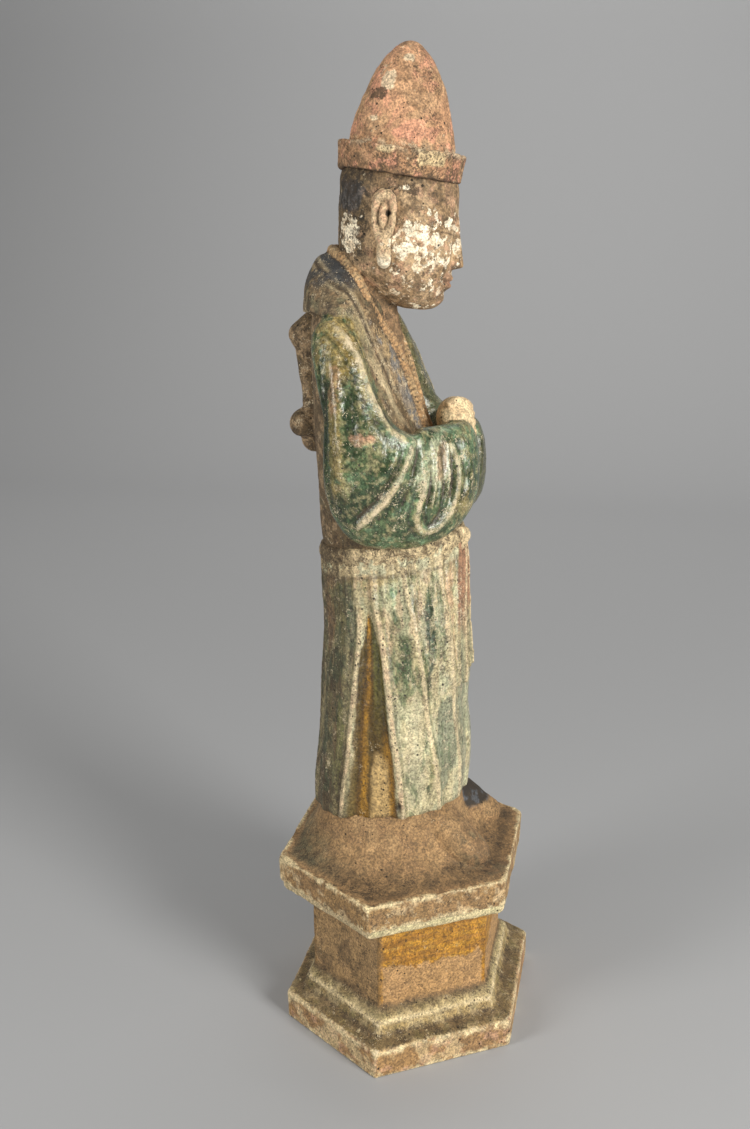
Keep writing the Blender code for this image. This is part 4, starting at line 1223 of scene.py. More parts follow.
def clay_material(name, patch, gloss):
    """Glaze, paint or bare clay: two tints in ragged patches, dark specks of dirt and painted shade, pale
    flecks and pinholes.
    """
    material = bpy.data.materials.new(name)
    material.use_nodes = True
    nodes = Nodes(material.node_tree)
    link = material.node_tree.links.new
    shader = material.node_tree.nodes["Principled BSDF"]
    place = nodes.add("ShaderNodeTexCoord").outputs["Object"]
    tint, second, facts, wear = (
        nodes.add("ShaderNodeAttribute", attribute_name=word).outputs["Color"]
        for word in ("tint", "second", "facts", "wear")
    )
    cover, coat, pits = nodes.add("ShaderNodeSeparateColor", (0, facts)).outputs[0:3]
    grime_and_shade, flecks, _ = nodes.add("ShaderNodeSeparateColor", (0, wear)).outputs[0:3]
    elsewhere = nodes.add("ShaderNodeMapping", (0, place), (1, (0.31, 0.17, 0.23))).outputs[0]

    patches = nodes.cloud(place, patch, 9.0, 0.72)
    level = nodes.ramp(cover, 0.0, 1.0, 0.78, 0.24)
    on_second = nodes.ramp(nodes.math("SUBTRACT", patches, level), -0.022, 0.022)
    colour = nodes.mix(on_second, tint, second)

    fine = nodes.cloud(place, FINE, 3.0, 0.7)
    middle = nodes.cloud(elsewhere, MIDDLING, 4.0, 0.62)
    light = nodes.ramp(fine, 0.30, 0.70, 0.48, 1.48)
    shade = nodes.times(light, nodes.ramp(middle, 0.30, 0.70, 0.74, 1.22))
    stretched = nodes.add("ShaderNodeMapping", (0, place), (3, (1.0, 1.0, 0.16))).outputs[0]
    runs = nodes.ramp(nodes.cloud(stretched, RUN_WIDTH, 4.0), 0.32, 0.68, 0.80, 1.16)
    shade = nodes.times(shade, nodes.math("POWER", runs, coat))
    edges = nodes.add("ShaderNodeTexVoronoi", ("Vector", place), ("Scale", 1.0 / CRAZE),
                      feature="DISTANCE_TO_EDGE").outputs["Distance"]
    crazed = nodes.times(nodes.ramp(edges, 0.0, 0.08, 1.0, 0.0), coat)
    shade = nodes.times(shade, nodes.math("MULTIPLY_ADD", crazed, -0.13, 1.0))
    colour = nodes.add("ShaderNodeVectorMath", (0, colour), (3, shade), operation="SCALE").outputs[0]

    # Dark specks of dirt, thicker in hollows and creases as painted shade
    dirt_and_shade = nodes.broken(elsewhere, grime_and_shade, 0.0012, 0.0055, 0.69, 0.38)
    colour = nodes.mix(nodes.times(dirt_and_shade, 0.74), colour, (*GRIME_AND_SHADE, 1.0))
    worn = nodes.broken(place, flecks, 0.0010, 0.0048, 0.69, 0.38)
    worn = nodes.times(worn, nodes.math("SUBTRACT", 1.0, nodes.times(dirt_and_shade, 0.7)))
    colour = nodes.mix(nodes.times(worn, 0.75), colour, (*FLECK, 1.0))

    dots = nodes.add("ShaderNodeTexVoronoi", ("Vector", place), ("Scale", 1.0 / PINHOLE))
    chance, breadth, _ = nodes.add("ShaderNodeSeparateColor", (0, dots.outputs["Color"])).outputs[0:3]
    reach = nodes.math("MULTIPLY_ADD", breadth, 0.30, 0.10)
    inside = nodes.math("SUBTRACT", reach, dots.outputs["Distance"])
    hole = nodes.times(nodes.math("LESS_THAN", chance, pits), nodes.ramp(inside, -0.03, 0.05))
    colour = nodes.mix(nodes.times(hole, 0.92), colour, (*SOOT, 1.0))
    link(colour, shader.inputs["Base Color"])

    swell = nodes.cloud(elsewhere, SWELL, 3.0, 0.55)
    rough_glaze = nodes.ramp(middle, 0.34, 0.66, gloss, gloss + 0.17)
    rough_glaze = nodes.math("MULTIPLY_ADD", on_second, SECOND_DULL, rough_glaze)
    dulled = nodes.math("MAXIMUM", dirt_and_shade, worn)
    rough_glaze = nodes.math("MULTIPLY_ADD", dulled, WORN_DULL, rough_glaze)
    rough_clay = nodes.ramp(fine, 0.3, 0.7, 0.76, 0.94)
    rough = nodes.add("ShaderNodeMix", (0, coat), (2, rough_clay), (3, rough_glaze)).outputs[0]
    link(nodes.math("MULTIPLY_ADD", hole, 0.4, rough), shader.inputs["Roughness"])
    shader.inputs["IOR"].default_value = GLAZE_IOR

    grit = nodes.cloud(place, GRIT, 5.0, 0.7)
    height = nodes.times(grit, nodes.ramp(coat, 0.0, 1.0, 0.42, 0.16))
    layers = ((nodes.times(swell, coat), SWELL_RISE), (on_second, SECOND_RISE), (worn, WORN_RISE),
              (dirt_and_shade, DIRT_AND_SHADE_RISE), (hole, HOLE_RISE), (crazed, CRAZE_RISE))
    for layer, rise in layers:
        height = nodes.math("MULTIPLY_ADD", layer, rise, height)
    bumps = nodes.add("ShaderNodeBump", ("Height", height), ("Distance", 0.001), ("Strength", 0.9))
    link(bumps.outputs[0], shader.inputs["Normal"])
    return material


# Hat

BRIM_CREAM = HAT_CREAM * (0.84, 0.80, 0.66)

# Daubs on the hat's right: the middle backward and upward, half sizes, how broken, how strong on
# the crown and on the brim, colour
HAT_DAUBS = (
    ((-10.0, 437.0), (11.0, 6.5), 1.5, 0.55, 0.275, HAT_PINK),
    ((1.0, 448.0), (8.0, 9.0), 1.5, 0.40, 0.20, HAT_ORANGE),
    ((6.6, 465.8), (4.2, 5.6), 2.2, 0.8, 0.0, HAT_CREAM),
    ((-4.0, 475.5), (3.0, 2.0), 2.2, 0.8, 0.0, HAT_CREAM),
    ((13.0, 444.0), (2.4, 1.6), 2.2, 0.8, 0.0, HAT_CREAM),
    ((-18.8, 423.9), (7.4, 7.0), 1.0, 0.0, 0.8, BRIM_CREAM),
    ((4.0, 427.5), (5.5, 2.2), 1.0, 0.0, 0.8, BRIM_CREAM),
)
HAT_SOOT = ((11.2, 457.0), (5.0, 3.2))
BRIM_NOTCH = (-6.0, -36.0, 426.0)
BRIM_LUMP = (-11.0, 34.5, 419.0)


def hat():
    skin = Skin({"hat": hat_rings(240, 64)}, HAT_GRAIN, HAT_TAN, HAT_CREAM)
    p = skin.points
    over = p[:, 2] - BRIM_LOW - math.tan(HAT_TILT) * (p[:, 1] - HAT_BACK)
    brim = 1.0 - ease(14.2, 16.2, over)
    rim = bump(over - (BRIM_HIGH - BRIM_LOW), 2.5)
    chips = ease(0.35, 0.8, clouds(p, 7.0, 9)) * rim
    notch = np.linalg.norm(p - BRIM_NOTCH, axis=1)
    lump = np.linalg.norm((p - BRIM_LUMP) * (1.0, 1.0, 0.6), axis=1)
    rough = clouds(p, 16.0, 3) * 0.42 + clouds(p, 4.0, 5) * 0.2 + clouds(p, 1.9, 6, 2) * 0.07
    skin.push(rough - 1.4 * chips - 2.2 * bump(notch, 3.4) + 1.6 * bump(lump, 4.5))
    skin.smooth(1)
    p = skin.points
    hollow = skin.hollow(6)
    y, z = p[:, 1], p[:, 2]
    near = p[:, 0] < 4.0
    rag = clouds(p, 4.0, 12)
    skin.patches(1.0, (26.0, 22, 0.55, 0.25, 0.75, HAT_ORANGE),
                 (11.0, 24, 0.40, 0.10, 0.55, HAT_PINK), (7.0, 23, 0.42, 0.12, 0.70, HAT_TAN),
                 (5.0, 25, 0.22, 0.06, 0.55, HAT_BROWN))
    forward = ease(8.0, -22.0, y - HAT_BACK)
    skin.lay(forward * skin.spots(6.0, 26, 0.4, 0.15) * 0.5, HAT_BROWN)
    skin.lay(brim * 0.62, HAT_BRIM)
    skin.patches(brim, (8.0, 27, 0.30, 0.08, 0.65, HAT_TAN),
                 (6.0, 28, 0.26, 0.08, 0.55, HAT_PINK), (4.0, 29, 0.25, 0.08, 0.6, EARTH_AND_SHADE))
    for middle, half, broken, on_crown, on_brim, colour in HAT_DAUBS:
        strength = on_crown + (on_brim - on_crown) * brim
        skin.lay(daub(y, z, middle, half, broken * rag) * near * strength, colour)
    # Cream along the brim's top edge: worn paint with a painted highlight
    skin.lay(rim * ease(0.0, 0.6, rag + 0.2) * 0.55, HAT_CREAM * 0.9)
    # Painted shade in the groove at the crown's foot and in hollows
    foot = bump(over - (BRIM_HIGH - BRIM_LOW) + 1.5, 2.0) * (1.0 - brim)
    skin.lay(np.maximum(foot, ease(0.3, 1.0, hollow)) * 0.6, EARTH_AND_SHADE)
    # Painted shade under the brim, where it meets the head
    skin.lay((1.0 - ease(0.0, 1.8, over)) * 0.85, DARK_EARTH_AND_SHADE)
    # Painted shadow inside the notch in the brim
    skin.lay(bump(np.linalg.norm(p - BRIM_NOTCH, axis=1), 3.2) * 0.85, DARK_EARTH_AND_SHADE * 0.7)
    skin.cover = 0.22 + 0.14 * clouds(p, 13.0, 21)
    skin.grime_and_shade = 0.31 + 0.10 * clouds(p, 9.0, 31) + 0.08 * forward + 0.18 * brim
    # A soot daub, and more dirt in hollows as painted shade
    skin.grime_and_shade += 0.6 * daub(y, z, *HAT_SOOT, rag) * near + 0.4 * ease(0.1, 0.8, hollow)
    skin.flecks = 0.20 + 0.08 * clouds(p, 7.0, 35) + 0.25 * rim
    skin.pits = 0.03 + 0.06 * skin.spots(9.0, 33, 0.3)
    skin.finish("hat", clay_material("painted_hat", 0.0062, 0.5))


# Head and neck

# Places backward and upward, and half sizes
NAPE_GESSO = ((28.0, 384.0), (7.5, 13.0))
NAPE_SLATE = ((27.0, 404.0), (9.0, 9.5))
BROW_PAINT = ((-5.0, 407.0), (6.0, 2.6))
EYE_LINE = 0.5


def ear_marks(own):
    """How far out each point lies from the ear's bowl, 1 at its edge, and the ear's opening."""
    _, y, z = own.T
    bowl = np.hypot((y - EAR_BOWL[0]) / EAR_BOWL[2], (z - EAR_BOWL[1]) / EAR_BOWL[3])
    hole = np.hypot(y - EAR_HOLE[0], z - EAR_HOLE[1])
    return bowl, bump(hole, EAR_HOLE_RADIUS)


def head():
    neck_heights = np.linspace(NECK[0][0], NECK[-1][0], 50)
    forms = {"head": head_rings(320, 190), "neck": stack_rings(NECK, neck_heights, 120)}
    for side, word in SIDES:
        forms["ear_" + word] = ear_rings(side, 72, 90)
    skin = Skin(forms, HEAD_GRAIN, FACE_CLAY, GESSO)
    own = turned_head(skin.points, back=True)
    calm = 1.0 - ease(-16.0, -8.0, own[:, 1])
    rough = clouds(skin.points, 9.0, 41) * 0.22 * (1.0 - 0.8 * calm)
    skin.push(rough + clouds(skin.points, 2.4, 42) * 0.08)
    skin.smooth(2, calm)
    own = turned_head(skin.points, back=True)
    bowl, hole = ear_marks(own)
    outer = skin.soften(skin.part("ear"), 1) * ease(32.0, 34.0, np.abs(own[:, 0]))
    lobe_fold = bump(own[:, 1] + 1.4, 0.9) * ease(1.0, -3.0, own[:, 2]) * ease(-16.0, -12.0, own[:, 2])
    bowl_relief = 0.8 * bump(bowl - 1.28, 0.20) - 2.0 * bump(bowl - 0.78, 0.24)
    skin.push(outer * (bowl_relief - 2.6 * hole - 0.7 * lobe_fold))
    p = skin.points
    own = turned_head(p, back=True)
    x, back, level = own.T
    y, z = p[:, 1], p[:, 2]
    hollow = skin.hollow(5)
    wide_hollow = skin.hollow(24)
    ear, neck = skin.part("ear"), skin.part("neck")
    ear_edge = ease(0.03, 0.4, skin.soften(ear, 7)) * (1.0 - ear)
    rag = clouds(p, 3.6, 44)
    skin.patches(1.0, (11.0, 43, 0.45, 0.15, 0.8, FACE_BROWN),
                 (5.0, 45, 0.25, 0.08, 0.55, PINK_CLAY), (4.0, 46, 0.28, 0.08, 0.7, EARTH_AND_SHADE))
    under_hat = ease(15.0, 24.0, level)
    hair = ease(9.0, 15.0, back) * ease(-24.0, -12.0, level) * (1.0 - ear)
    # Earth-brown patches just under the brim: painted shade under the hat
    skin.lay(under_hat * 0.6 * skin.spots(7.0, 48, 0.6, 0.2), EARTH_AND_SHADE)
    skin.lay(hair * (0.45 + 0.45 * skin.spots(7.0, 47, 0.5, 0.2)), HAIR_EARTH)
    slate = daub(y, z, *NAPE_SLATE, rag) * (1.0 - ear)
    skin.lay(slate * 0.75, SLATE * 0.6)
    skin.lay(hair * skin.spots(2.4, 49, 0.26 + 0.24 * slate, 0.08) * 0.8, SOOT * 1.8)
    skin.lay(neck * 0.85, NECK_BROWN)
    skin.lay(neck * skin.spots(4.0, 50, 0.4, 0.1) * 0.6, EARTH_AND_SHADE)
    skin.lay(ear * 0.9, EAR_CREAM)
    skin.lay(ear * skin.spots(3.5, 52, 0.35, 0.1) * 0.6, PINK_CLAY)
    lobe = ear * ease(-10.0, -18.0, level)
    skin.lay(lobe * 0.6, GESSO)
    gap = np.abs(np.abs(x) - EYE_APART)
    upper, lower = lid_lines(np.abs(x))
    on_eye = ease(LID_HALF + 0.6, LID_HALF - 1.4, gap) * calm
    lips = bump(x, 7.5) * bump(level - MOUTH_LEVEL + 0.2, 2.6) * calm
    skin.lay(lips * 0.55, LIP_ROSE)
    skin.lay(calm * bump(gap, 7.5) * bump(brow_line(np.abs(x), level), 0.9) * 0.6, DARK_EARTH_AND_SHADE)
    skin.lay(on_eye * bump(level - (upper + lower) / 2, EYE_LINE) * 0.75, DARK_EARTH_AND_SHADE)
    skin.lay(on_eye * bump(level - upper - 1.6, EYE_LINE) * 0.5, EARTH_AND_SHADE)
    # Painted shade in hollows
    skin.lay(ease(0.12, 0.8, hollow) * 0.75, EARTH_AND_SHADE)
    # Dirt and painted shade in the crease round the ear
    skin.lay(ear_edge * 0.85, DARK_EARTH_AND_SHADE)
    # Painted shade in broad hollows
    skin.lay(ease(0.3, 1.0, wide_hollow) * 0.5, EARTH_AND_SHADE)
    # Painted shade round the rim of the ear's bowl
    skin.lay(ear * bump(bowl - 0.76, 0.16) * (0.5 + 0.4 * skin.spots(3.0, 57, 0.6)), EARTH_AND_SHADE)
    # Painted shade in the ear's opening
    hole = ear * ease(0.3, 0.7, hole)
    skin.lay(hole, DARK_EARTH_AND_SHADE * 0.6)
    skin.lay(skin.spots(6.0, 54, 0.3, 0.15) * 0.5, FACE_CLAY * 1.15, True)
    broad = clouds(p, 11.0, 51) * 9.0
    cheek = ease(15.0, 0.0, back + broad) * ease(20.0, 2.0, level + broad) * (1.0 - neck)
    nape = daub(y, z, *NAPE_GESSO, 2.0 * rag) * (1.0 - ear)
    fleck = daub(y, z, *BROW_PAINT, 2.5 * rag)
    skin.cover = 0.19 + 0.35 * cheek + 0.52 * nape + 0.46 * fleck + 0.12 * rag
    skin.cover -= 0.16 * under_hat + 0.10 * hair + 0.3 * neck + 0.15 * slate
    skin.cover -= 0.34 * ease(0.1, 0.8, hollow) + 0.4 * ear_edge + 0.3 * hole
    skin.cover -= 0.11 * ease(-6.0, -24.0, level + 1.2 * broad)
    skin.cover -= 0.25 * np.maximum(lips, on_eye * bump(level - EYE_LEVEL, 2.4))
    skin.cover += 0.16 * lobe - 0.10 * ear
    skin.cover = np.clip(skin.cover, 0.0, 0.80)
    # More dirt in hollows, round the ear and under the hat: dirt and painted shade
    skin.grime_and_shade = 0.34 + 0.12 * clouds(p, 9.0, 55) + 0.30 * ease(0.1, 0.8, hollow) + 0.25 * ear_edge
    skin.grime_and_shade += 0.14 * hair + 0.12 * under_hat + 0.2 * ease(0.2, 0.9, wide_hollow) - 0.10 * calm
    skin.flecks = 0.22 + 0.08 * clouds(p, 7.0, 56) + 0.15 * ease(0.2, 0.9, -hollow)
    skin.pits = 0.02 + 0.05 * skin.spots(8.0, 53, 0.3)
    skin.finish("head", clay_material("painted_head", 0.0068, 0.5))


# Robe with its sleeves, collar, hands and sash

# Lines on a sleeve as places backward and upward: how far they stand out, their breadth,
# how pale they are (below 0 darker, as pooled glaze and painted shade), and the places
SLEEVE_LINES = (
    (2.0, 2.7, 1.0, ((33.0, 336.0), (23.0, 327.0), (14.0, 314.0), (5.0, 293.0), (-5.0, 278.0),
                     (-15.0, 272.0))),
    (1.5, 2.1, 1.0, ((-16.0, 272.0), (-14.0, 262.0), (-8.0, 249.0), (0.0, 237.0), (9.5, 228.0),
                     (17.0, 220.0))),
    (1.4, 2.0, 1.0, ((-29.0, 274.0), (-36.0, 263.0), (-39.0, 249.0), (-38.0, 238.0), (-33.0, 225.0),
                     (-25.0, 218.5), (-19.0, 221.0), (-18.0, 230.0), (-22.0, 247.0), (-21.0, 264.0))),
    (1.6, 1.3, 0.7, ((-25.0, 273.0), (-28.0, 258.0), (-27.0, 243.0), (-25.0, 232.0))),
    (1.3, 1.1, 0.7, ((-32.0, 270.0), (-34.5, 256.0), (-34.0, 237.0))),
    (-2.2, 1.4, -1.0, ((-28.0, 272.0), (-31.0, 262.0), (-32.0, 245.0), (-30.0, 230.0), (-25.0, 223.0))),
    (-1.7, 1.1, -1.0, ((-34.5, 264.0), (-36.5, 250.0), (-35.5, 235.0))),
    (-1.9, 1.6, -0.7, ((-18.0, 275.0), (-19.0, 264.0), (-15.0, 248.0), (-8.0, 230.0))),
    (-0.9, 2.0, -0.4, ((-11.0, 268.0), (-7.0, 254.0), (0.0, 243.0), (9.0, 233.0), (17.0, 226.0))),
    (1.2, 2.6, 0.35, ((-38.0, 273.0), (-43.0, 262.0), (-45.0, 248.0), (-42.0, 233.0))),
    (1.4, 3.6, 0.25, ((-11.0, 268.0), (-3.0, 256.0), (8.0, 247.0), (18.0, 243.0))),
    (1.4, 3.4, 0.15, ((30.0, 322.0), (26.5, 300.0), (25.0, 273.0), (21.0, 246.0))),
    (-1.2, 2.6, -0.8, ((34.0, 311.0), (34.0, 280.0), (32.0, 245.0), (26.0, 227.0))),
    (-1.0, 3.4, -0.6, ((23.0, 309.0), (18.0, 290.0), (14.0, 268.0))),
)

# Daubs of glaze on a sleeve: the middle backward and upward, half sizes, strength, colour
SLEEVE_DAUBS = (
    ((27.0, 320.0), (12.0, 22.0), 0.80, "gold"),
    ((25.0, 327.0), (8.0, 9.0), 0.65, "straw"),
    ((27.0, 275.0), (4.6, 44.0), 0.65, "gold"),
    ((28.0, 300.0), (3.6, 14.0), 0.50, "brown"),
    ((24.0, 262.0), (4.2, 16.0), 0.55, "straw"),
    ((22.0, 243.0), (6.5, 12.0), 0.35, "straw"),
    ((14.0, 302.0), (5.0, 18.0), 0.55, "straw"),
    ((4.0, 287.0), (4.0, 12.0), 0.45, "gold"),
    ((-26.0, 258.0), (8.5, 15.0), 0.85, "mint"),
    ((-29.5, 260.0), (2.6, 11.0), 0.70, "brown"),
    ((-17.0, 268.0), (5.0, 5.0), 0.60, "mint"),
    ((34.5, 285.0), (3.6, 36.0), 0.95, "deep"),
    ((17.0, 284.0), (5.0, 24.0), 0.95, "deep"),
    ((2.0, 281.0), (5.0, 11.0), 0.60, "deep"),
    ((16.0, 232.0), (13.0, 10.0), 0.85, "deep"),
    ((3.0, 238.0), (13.0, 10.0), 0.75, "deep"),
    ((-2.0, 258.0), (9.0, 6.0), 0.70, "deep"),
    ((-24.0, 226.0), (4.0, 9.0), 0.60, "deep"),
    ((-45.0, 254.0), (3.6, 15.0), 0.60, "deep"),
    ((-41.0, 262.0), (4.0, 9.0), 0.55, "teal"),
    ((-8.0, 222.0), (12.0, 6.0), 0.65, "deep"),
    ((-10.0, 268.0), (6.0, 4.0), 0.75, "teal"),
    ((12.0, 252.0), (9.0, 4.0), 0.60, "teal"),
    ((-20.0, 262.0), (3.0, 9.0), 0.50, "teal"),
    ((-31.0, 273.0), (9.0, 3.0), 0.45, "teal"),
    ((11.0, 273.0), (6.5, 3.4), 0.90, "bare"),
    ((-40.0, 232.0), (4.0, 7.0), 0.55, "straw"),
    ((8.0, 250.0), (9.0, 5.0), 0.55, "deep"),
    ((30.0, 333.0), (9.0, 5.0), 0.70, "straw"),
)
CORD_TICK = 2.5
BARE_FORMS = ("torso", "shawl", "cord", "hands", "sash")


def robe_forms():
    cord = cord_line(420)
    thumb = smooth_rows(THUMB, 24)
    torso_heights = np.linspace(TORSO[0][0], TORSO[-1][0], 110)
    forms = {
        "torso": stack_rings(TORSO, torso_heights, 200, SKIRT_FULLNESS),
        "shawl": shawl_rings(240, 12),
        "cord": tube_rings(cord, [CORD_RADIUS] * len(cord), 20, 0.11, CORD_PITCH),
        "hands": hands_rings(96, 60),
        "hands_thumb": tube_rings(thumb, THUMB_RADIUS * (1.0 - 0.3 * np.linspace(0, 1, 24)), 16),
        "sash": sash_rings(60, 60),
        "sash_knot": ball_rings(BOW_MIDDLE, BOW_KNOT, 32, 20),
    }
    for side, word in SIDES:
        forms["sleeve_" + word] = sleeve_rings(side, 150, 170)
        loop = (side * BOW_APART, BOW_MIDDLE[1], BOW_MIDDLE[2])
        tail = (side * BOW_TAIL[0], BOW_TAIL[1], BOW_TAIL[2])
        forms["sash_loop_" + word] = ball_rings(loop, BOW_LOOP, 40, 24)
        forms["sash_tail_" + word] = ball_rings(tail, BOW_TAIL_HALF, 32, 20)
    return forms


def robe_relief(skin):
    """Pushes in folds, creases and roughness, and says where the sleeves' folds lie."""
    start = skin.points
    relief = np.zeros(len(start))
    marks = {word: np.zeros(len(start)) for word in ("pale", "dark", "holes")}
    soft_sleeve = skin.soften(skin.part("sleeve"), 3)
    for side in (-1.0, 1.0):
        for tall, width, lightness, path in SLEEVE_LINES:
            path = np.array(path)
            if side > 0:
                path[:, 0] -= LEFT_ARM_FORWARD * ease(*LEFT_ARM_FADE, path[:, 1])
            line = outermost(skin, path, side)
            gap, place = near_line(start, line, 3.0 * abs(width) + 2.0)
            ends = ease(0.0, 0.12, place) * (1.0 - ease(0.88, 1.0, place))
            hill = bump(gap, width) * (0.25 + 0.75 * ends) * soft_sleeve
            relief += tall * hill
            if tall > 1.25 and width < 2.5:
                relief -= 0.7 * bump(gap - 2.2 * width, 0.9 * width) * ends * soft_sleeve
            near = 0.3 + 0.7 * ends
            found = [("pale", max(lightness, 0.0) * bump(gap, 1.15 * width) * near),
                     ("dark", max(-lightness, 0.0) * bump(gap, 1.4 * width) * ends)]
            if lightness > 0.9:
                edge = bump(gap - 1.9 * width, 0.8)
                found.append(("holes", edge * ease(0.35, 0.6, place)))
                # A dark band in the groove beside a pale fold: painted shade
                found.append(("dark", 0.75 * bump(gap - 2.5 * width, 1.1) * ends))
            for word, mark in found:
                marks[word] = np.maximum(marks[word], mark)
    for side in (-1.0, 1.0):
        for rise in BOW_CREASES:
            first = np.array((0.0, BOW_MIDDLE[1] + BOW_KNOT[1], BOW_MIDDLE[2]))
            crease = first + np.linspace(0.1, 1.0, 24)[:, None] * (side * 2.0 * BOW_APART, -9.0, rise)
            gap, _ = near_line(start, crease, 7.0)
            relief -= 1.6 * bump(gap, 2.6) * skin.part("sash")
    coarse = 1.0 - 0.6 * skin.part("hands")
    relief += (clouds(start, 14.0, 61) * 0.30 + clouds(start, 3.4, 63) * 0.15) * coarse
    skin.push(relief + clouds(start, 1.9, 65, 2) * 0.05)
    skin.smooth(1)
    return marks


def robe():
    skin = Skin(robe_forms(), ROBE_GRAIN, GREEN, GREY_STRAW)
    marks = robe_relief(skin)
    p = skin.points
    x, y, z = p.T
    hollow = skin.hollow(5)
    wide = skin.hollow(30)
    torso, shawl, cord, hands, sash = map(skin.part, BARE_FORMS)
    rag = clouds(p, 5.0, 70) * 1.2
    tinted = {"straw": STRAW, "gold": OLD_GOLD, "deep": DEEP_GREEN, "teal": SEA_GREEN,
              "mint": MINT * 1.1, "bare": PINK_CLAY * 1.1, "brown": PINK_CLAY * 0.85}

    skin.patches(1.0, (16.0, 71, 0.40, 0.20, 0.8, DEEP_GREEN),
                 (7.0, 72, 0.34, 0.12, 0.6, SEA_GREEN), (5.0, 73, 0.22, 0.10, 0.45, GREY_STRAW))
    back = y + LEFT_ARM_FORWARD * (x > 0) * ease(*LEFT_ARM_FADE, z)
    for middle, half, strength, word in SLEEVE_DAUBS:
        skin.lay(daub(back, z, middle, half, 1.5 * rag) * strength, tinted[word])
    skin.patches(1.0, (3.2, 76, 0.20, 0.06, 0.5, DEEP_GREEN),
                 (2.6, 78, 0.20, 0.08, 0.5, GREY_STRAW))
    # Fold valleys and grooves take a darker deep green: pooled glaze and painted shade
    skin.lay(marks["dark"] * (0.65 + 0.3 * skin.spots(4.0, 74, 0.6)), DEEP_GREEN * 0.8)
    # Painted shade in hollows
    skin.lay(ease(0.15, 0.9, hollow) * 0.75, DARK_EARTH_AND_SHADE)
    skin.lay(ease(0.35, 1.2, -hollow) * 0.7, RIDGE_CREAM)
    broken = 0.35 + 0.50 * skin.spots(4.0, 80, 0.55, 0.15)
    skin.lay(ease(0.30, 1.0, marks["pale"]) * broken, RIDGE_CREAM)
    skin.lay(skin.spots(9.0, 77, 0.3, 0.1), MINT, True)
    skin.cover = 0.24 + 0.10 * clouds(p, 9.0, 79) + 0.25 * marks["pale"]
    skin.coat = 1.0 - 0.45 * ease(0.3, 0.8, marks["pale"])
    skin.pits = 0.01 + 0.55 * marks["holes"] * skin.spots(6.0, 82, 0.35)
    skin.pits += 0.05 * skin.spots(9.0, 81, 0.25)
    # More dirt in hollows and fold valleys, as painted shade
    skin.grime_and_shade = 0.22 + 0.12 * clouds(p, 8.0, 83) + 0.35 * ease(0.1, 0.7, hollow)
    skin.grime_and_shade += 0.25 * marks["dark"] + 0.22 * marks["holes"]
    skin.flecks = 0.30 + 0.12 * clouds(p, 9.0, 84) + 0.22 * ease(0.2, 0.9, -hollow)
    skin.flecks += 0.3 * marks["pale"]

    # The far half is painted darker grey-green: painted shade on the side away from the lamps
    skin.lay(ease(4.0, 10.0, x) * 0.65, GREY_GREEN * 0.6)
    paint_bare_cloth(skin, rag, hollow)
    # Painted shade round the cord where it lies on the collar
    skin.lay(ease(0.03, 0.4, skin.soften(cord, 6)) * (1.0 - cord) * (1.0 - hands) * 0.75, DARK_EARTH_AND_SHADE)
    bare = skin.soften(np.clip(torso + shawl + cord + hands + sash, 0.0, 1.0), 1)
    # Painted shade in the hollows of the bare parts
    skin.lay(bare * ease(0.25, 1.0, hollow) * 0.65, DARK_EARTH_AND_SHADE)
    # Painted shade in broad hollows
    skin.lay(ease(0.3, 1.2, wide) * 0.35, EARTH_AND_SHADE)
    skin.lay(bare, BROWN_CLAY, True)
    skin.lay(hands, PALE_CLAY * 1.05, True)
    skin.cover = skin.cover * (1.0 - 0.6 * bare)
    skin.coat = np.clip(skin.coat * (1.0 - 0.95 * bare) + 0.30 * shawl, 0.0, 1.0)
    skin.pits = skin.pits * (1.0 - bare) + 0.03 * bare
    skin.grime_and_shade += bare * (0.12 + 0.05 * clouds(p, 6.0, 85)) + 0.12 * (torso + sash) - 0.16 * hands
    skin.flecks += 0.06 * (shawl + sash)
    skin.finish("robe", clay_material("glazed_robe", 0.0044, 0.07))


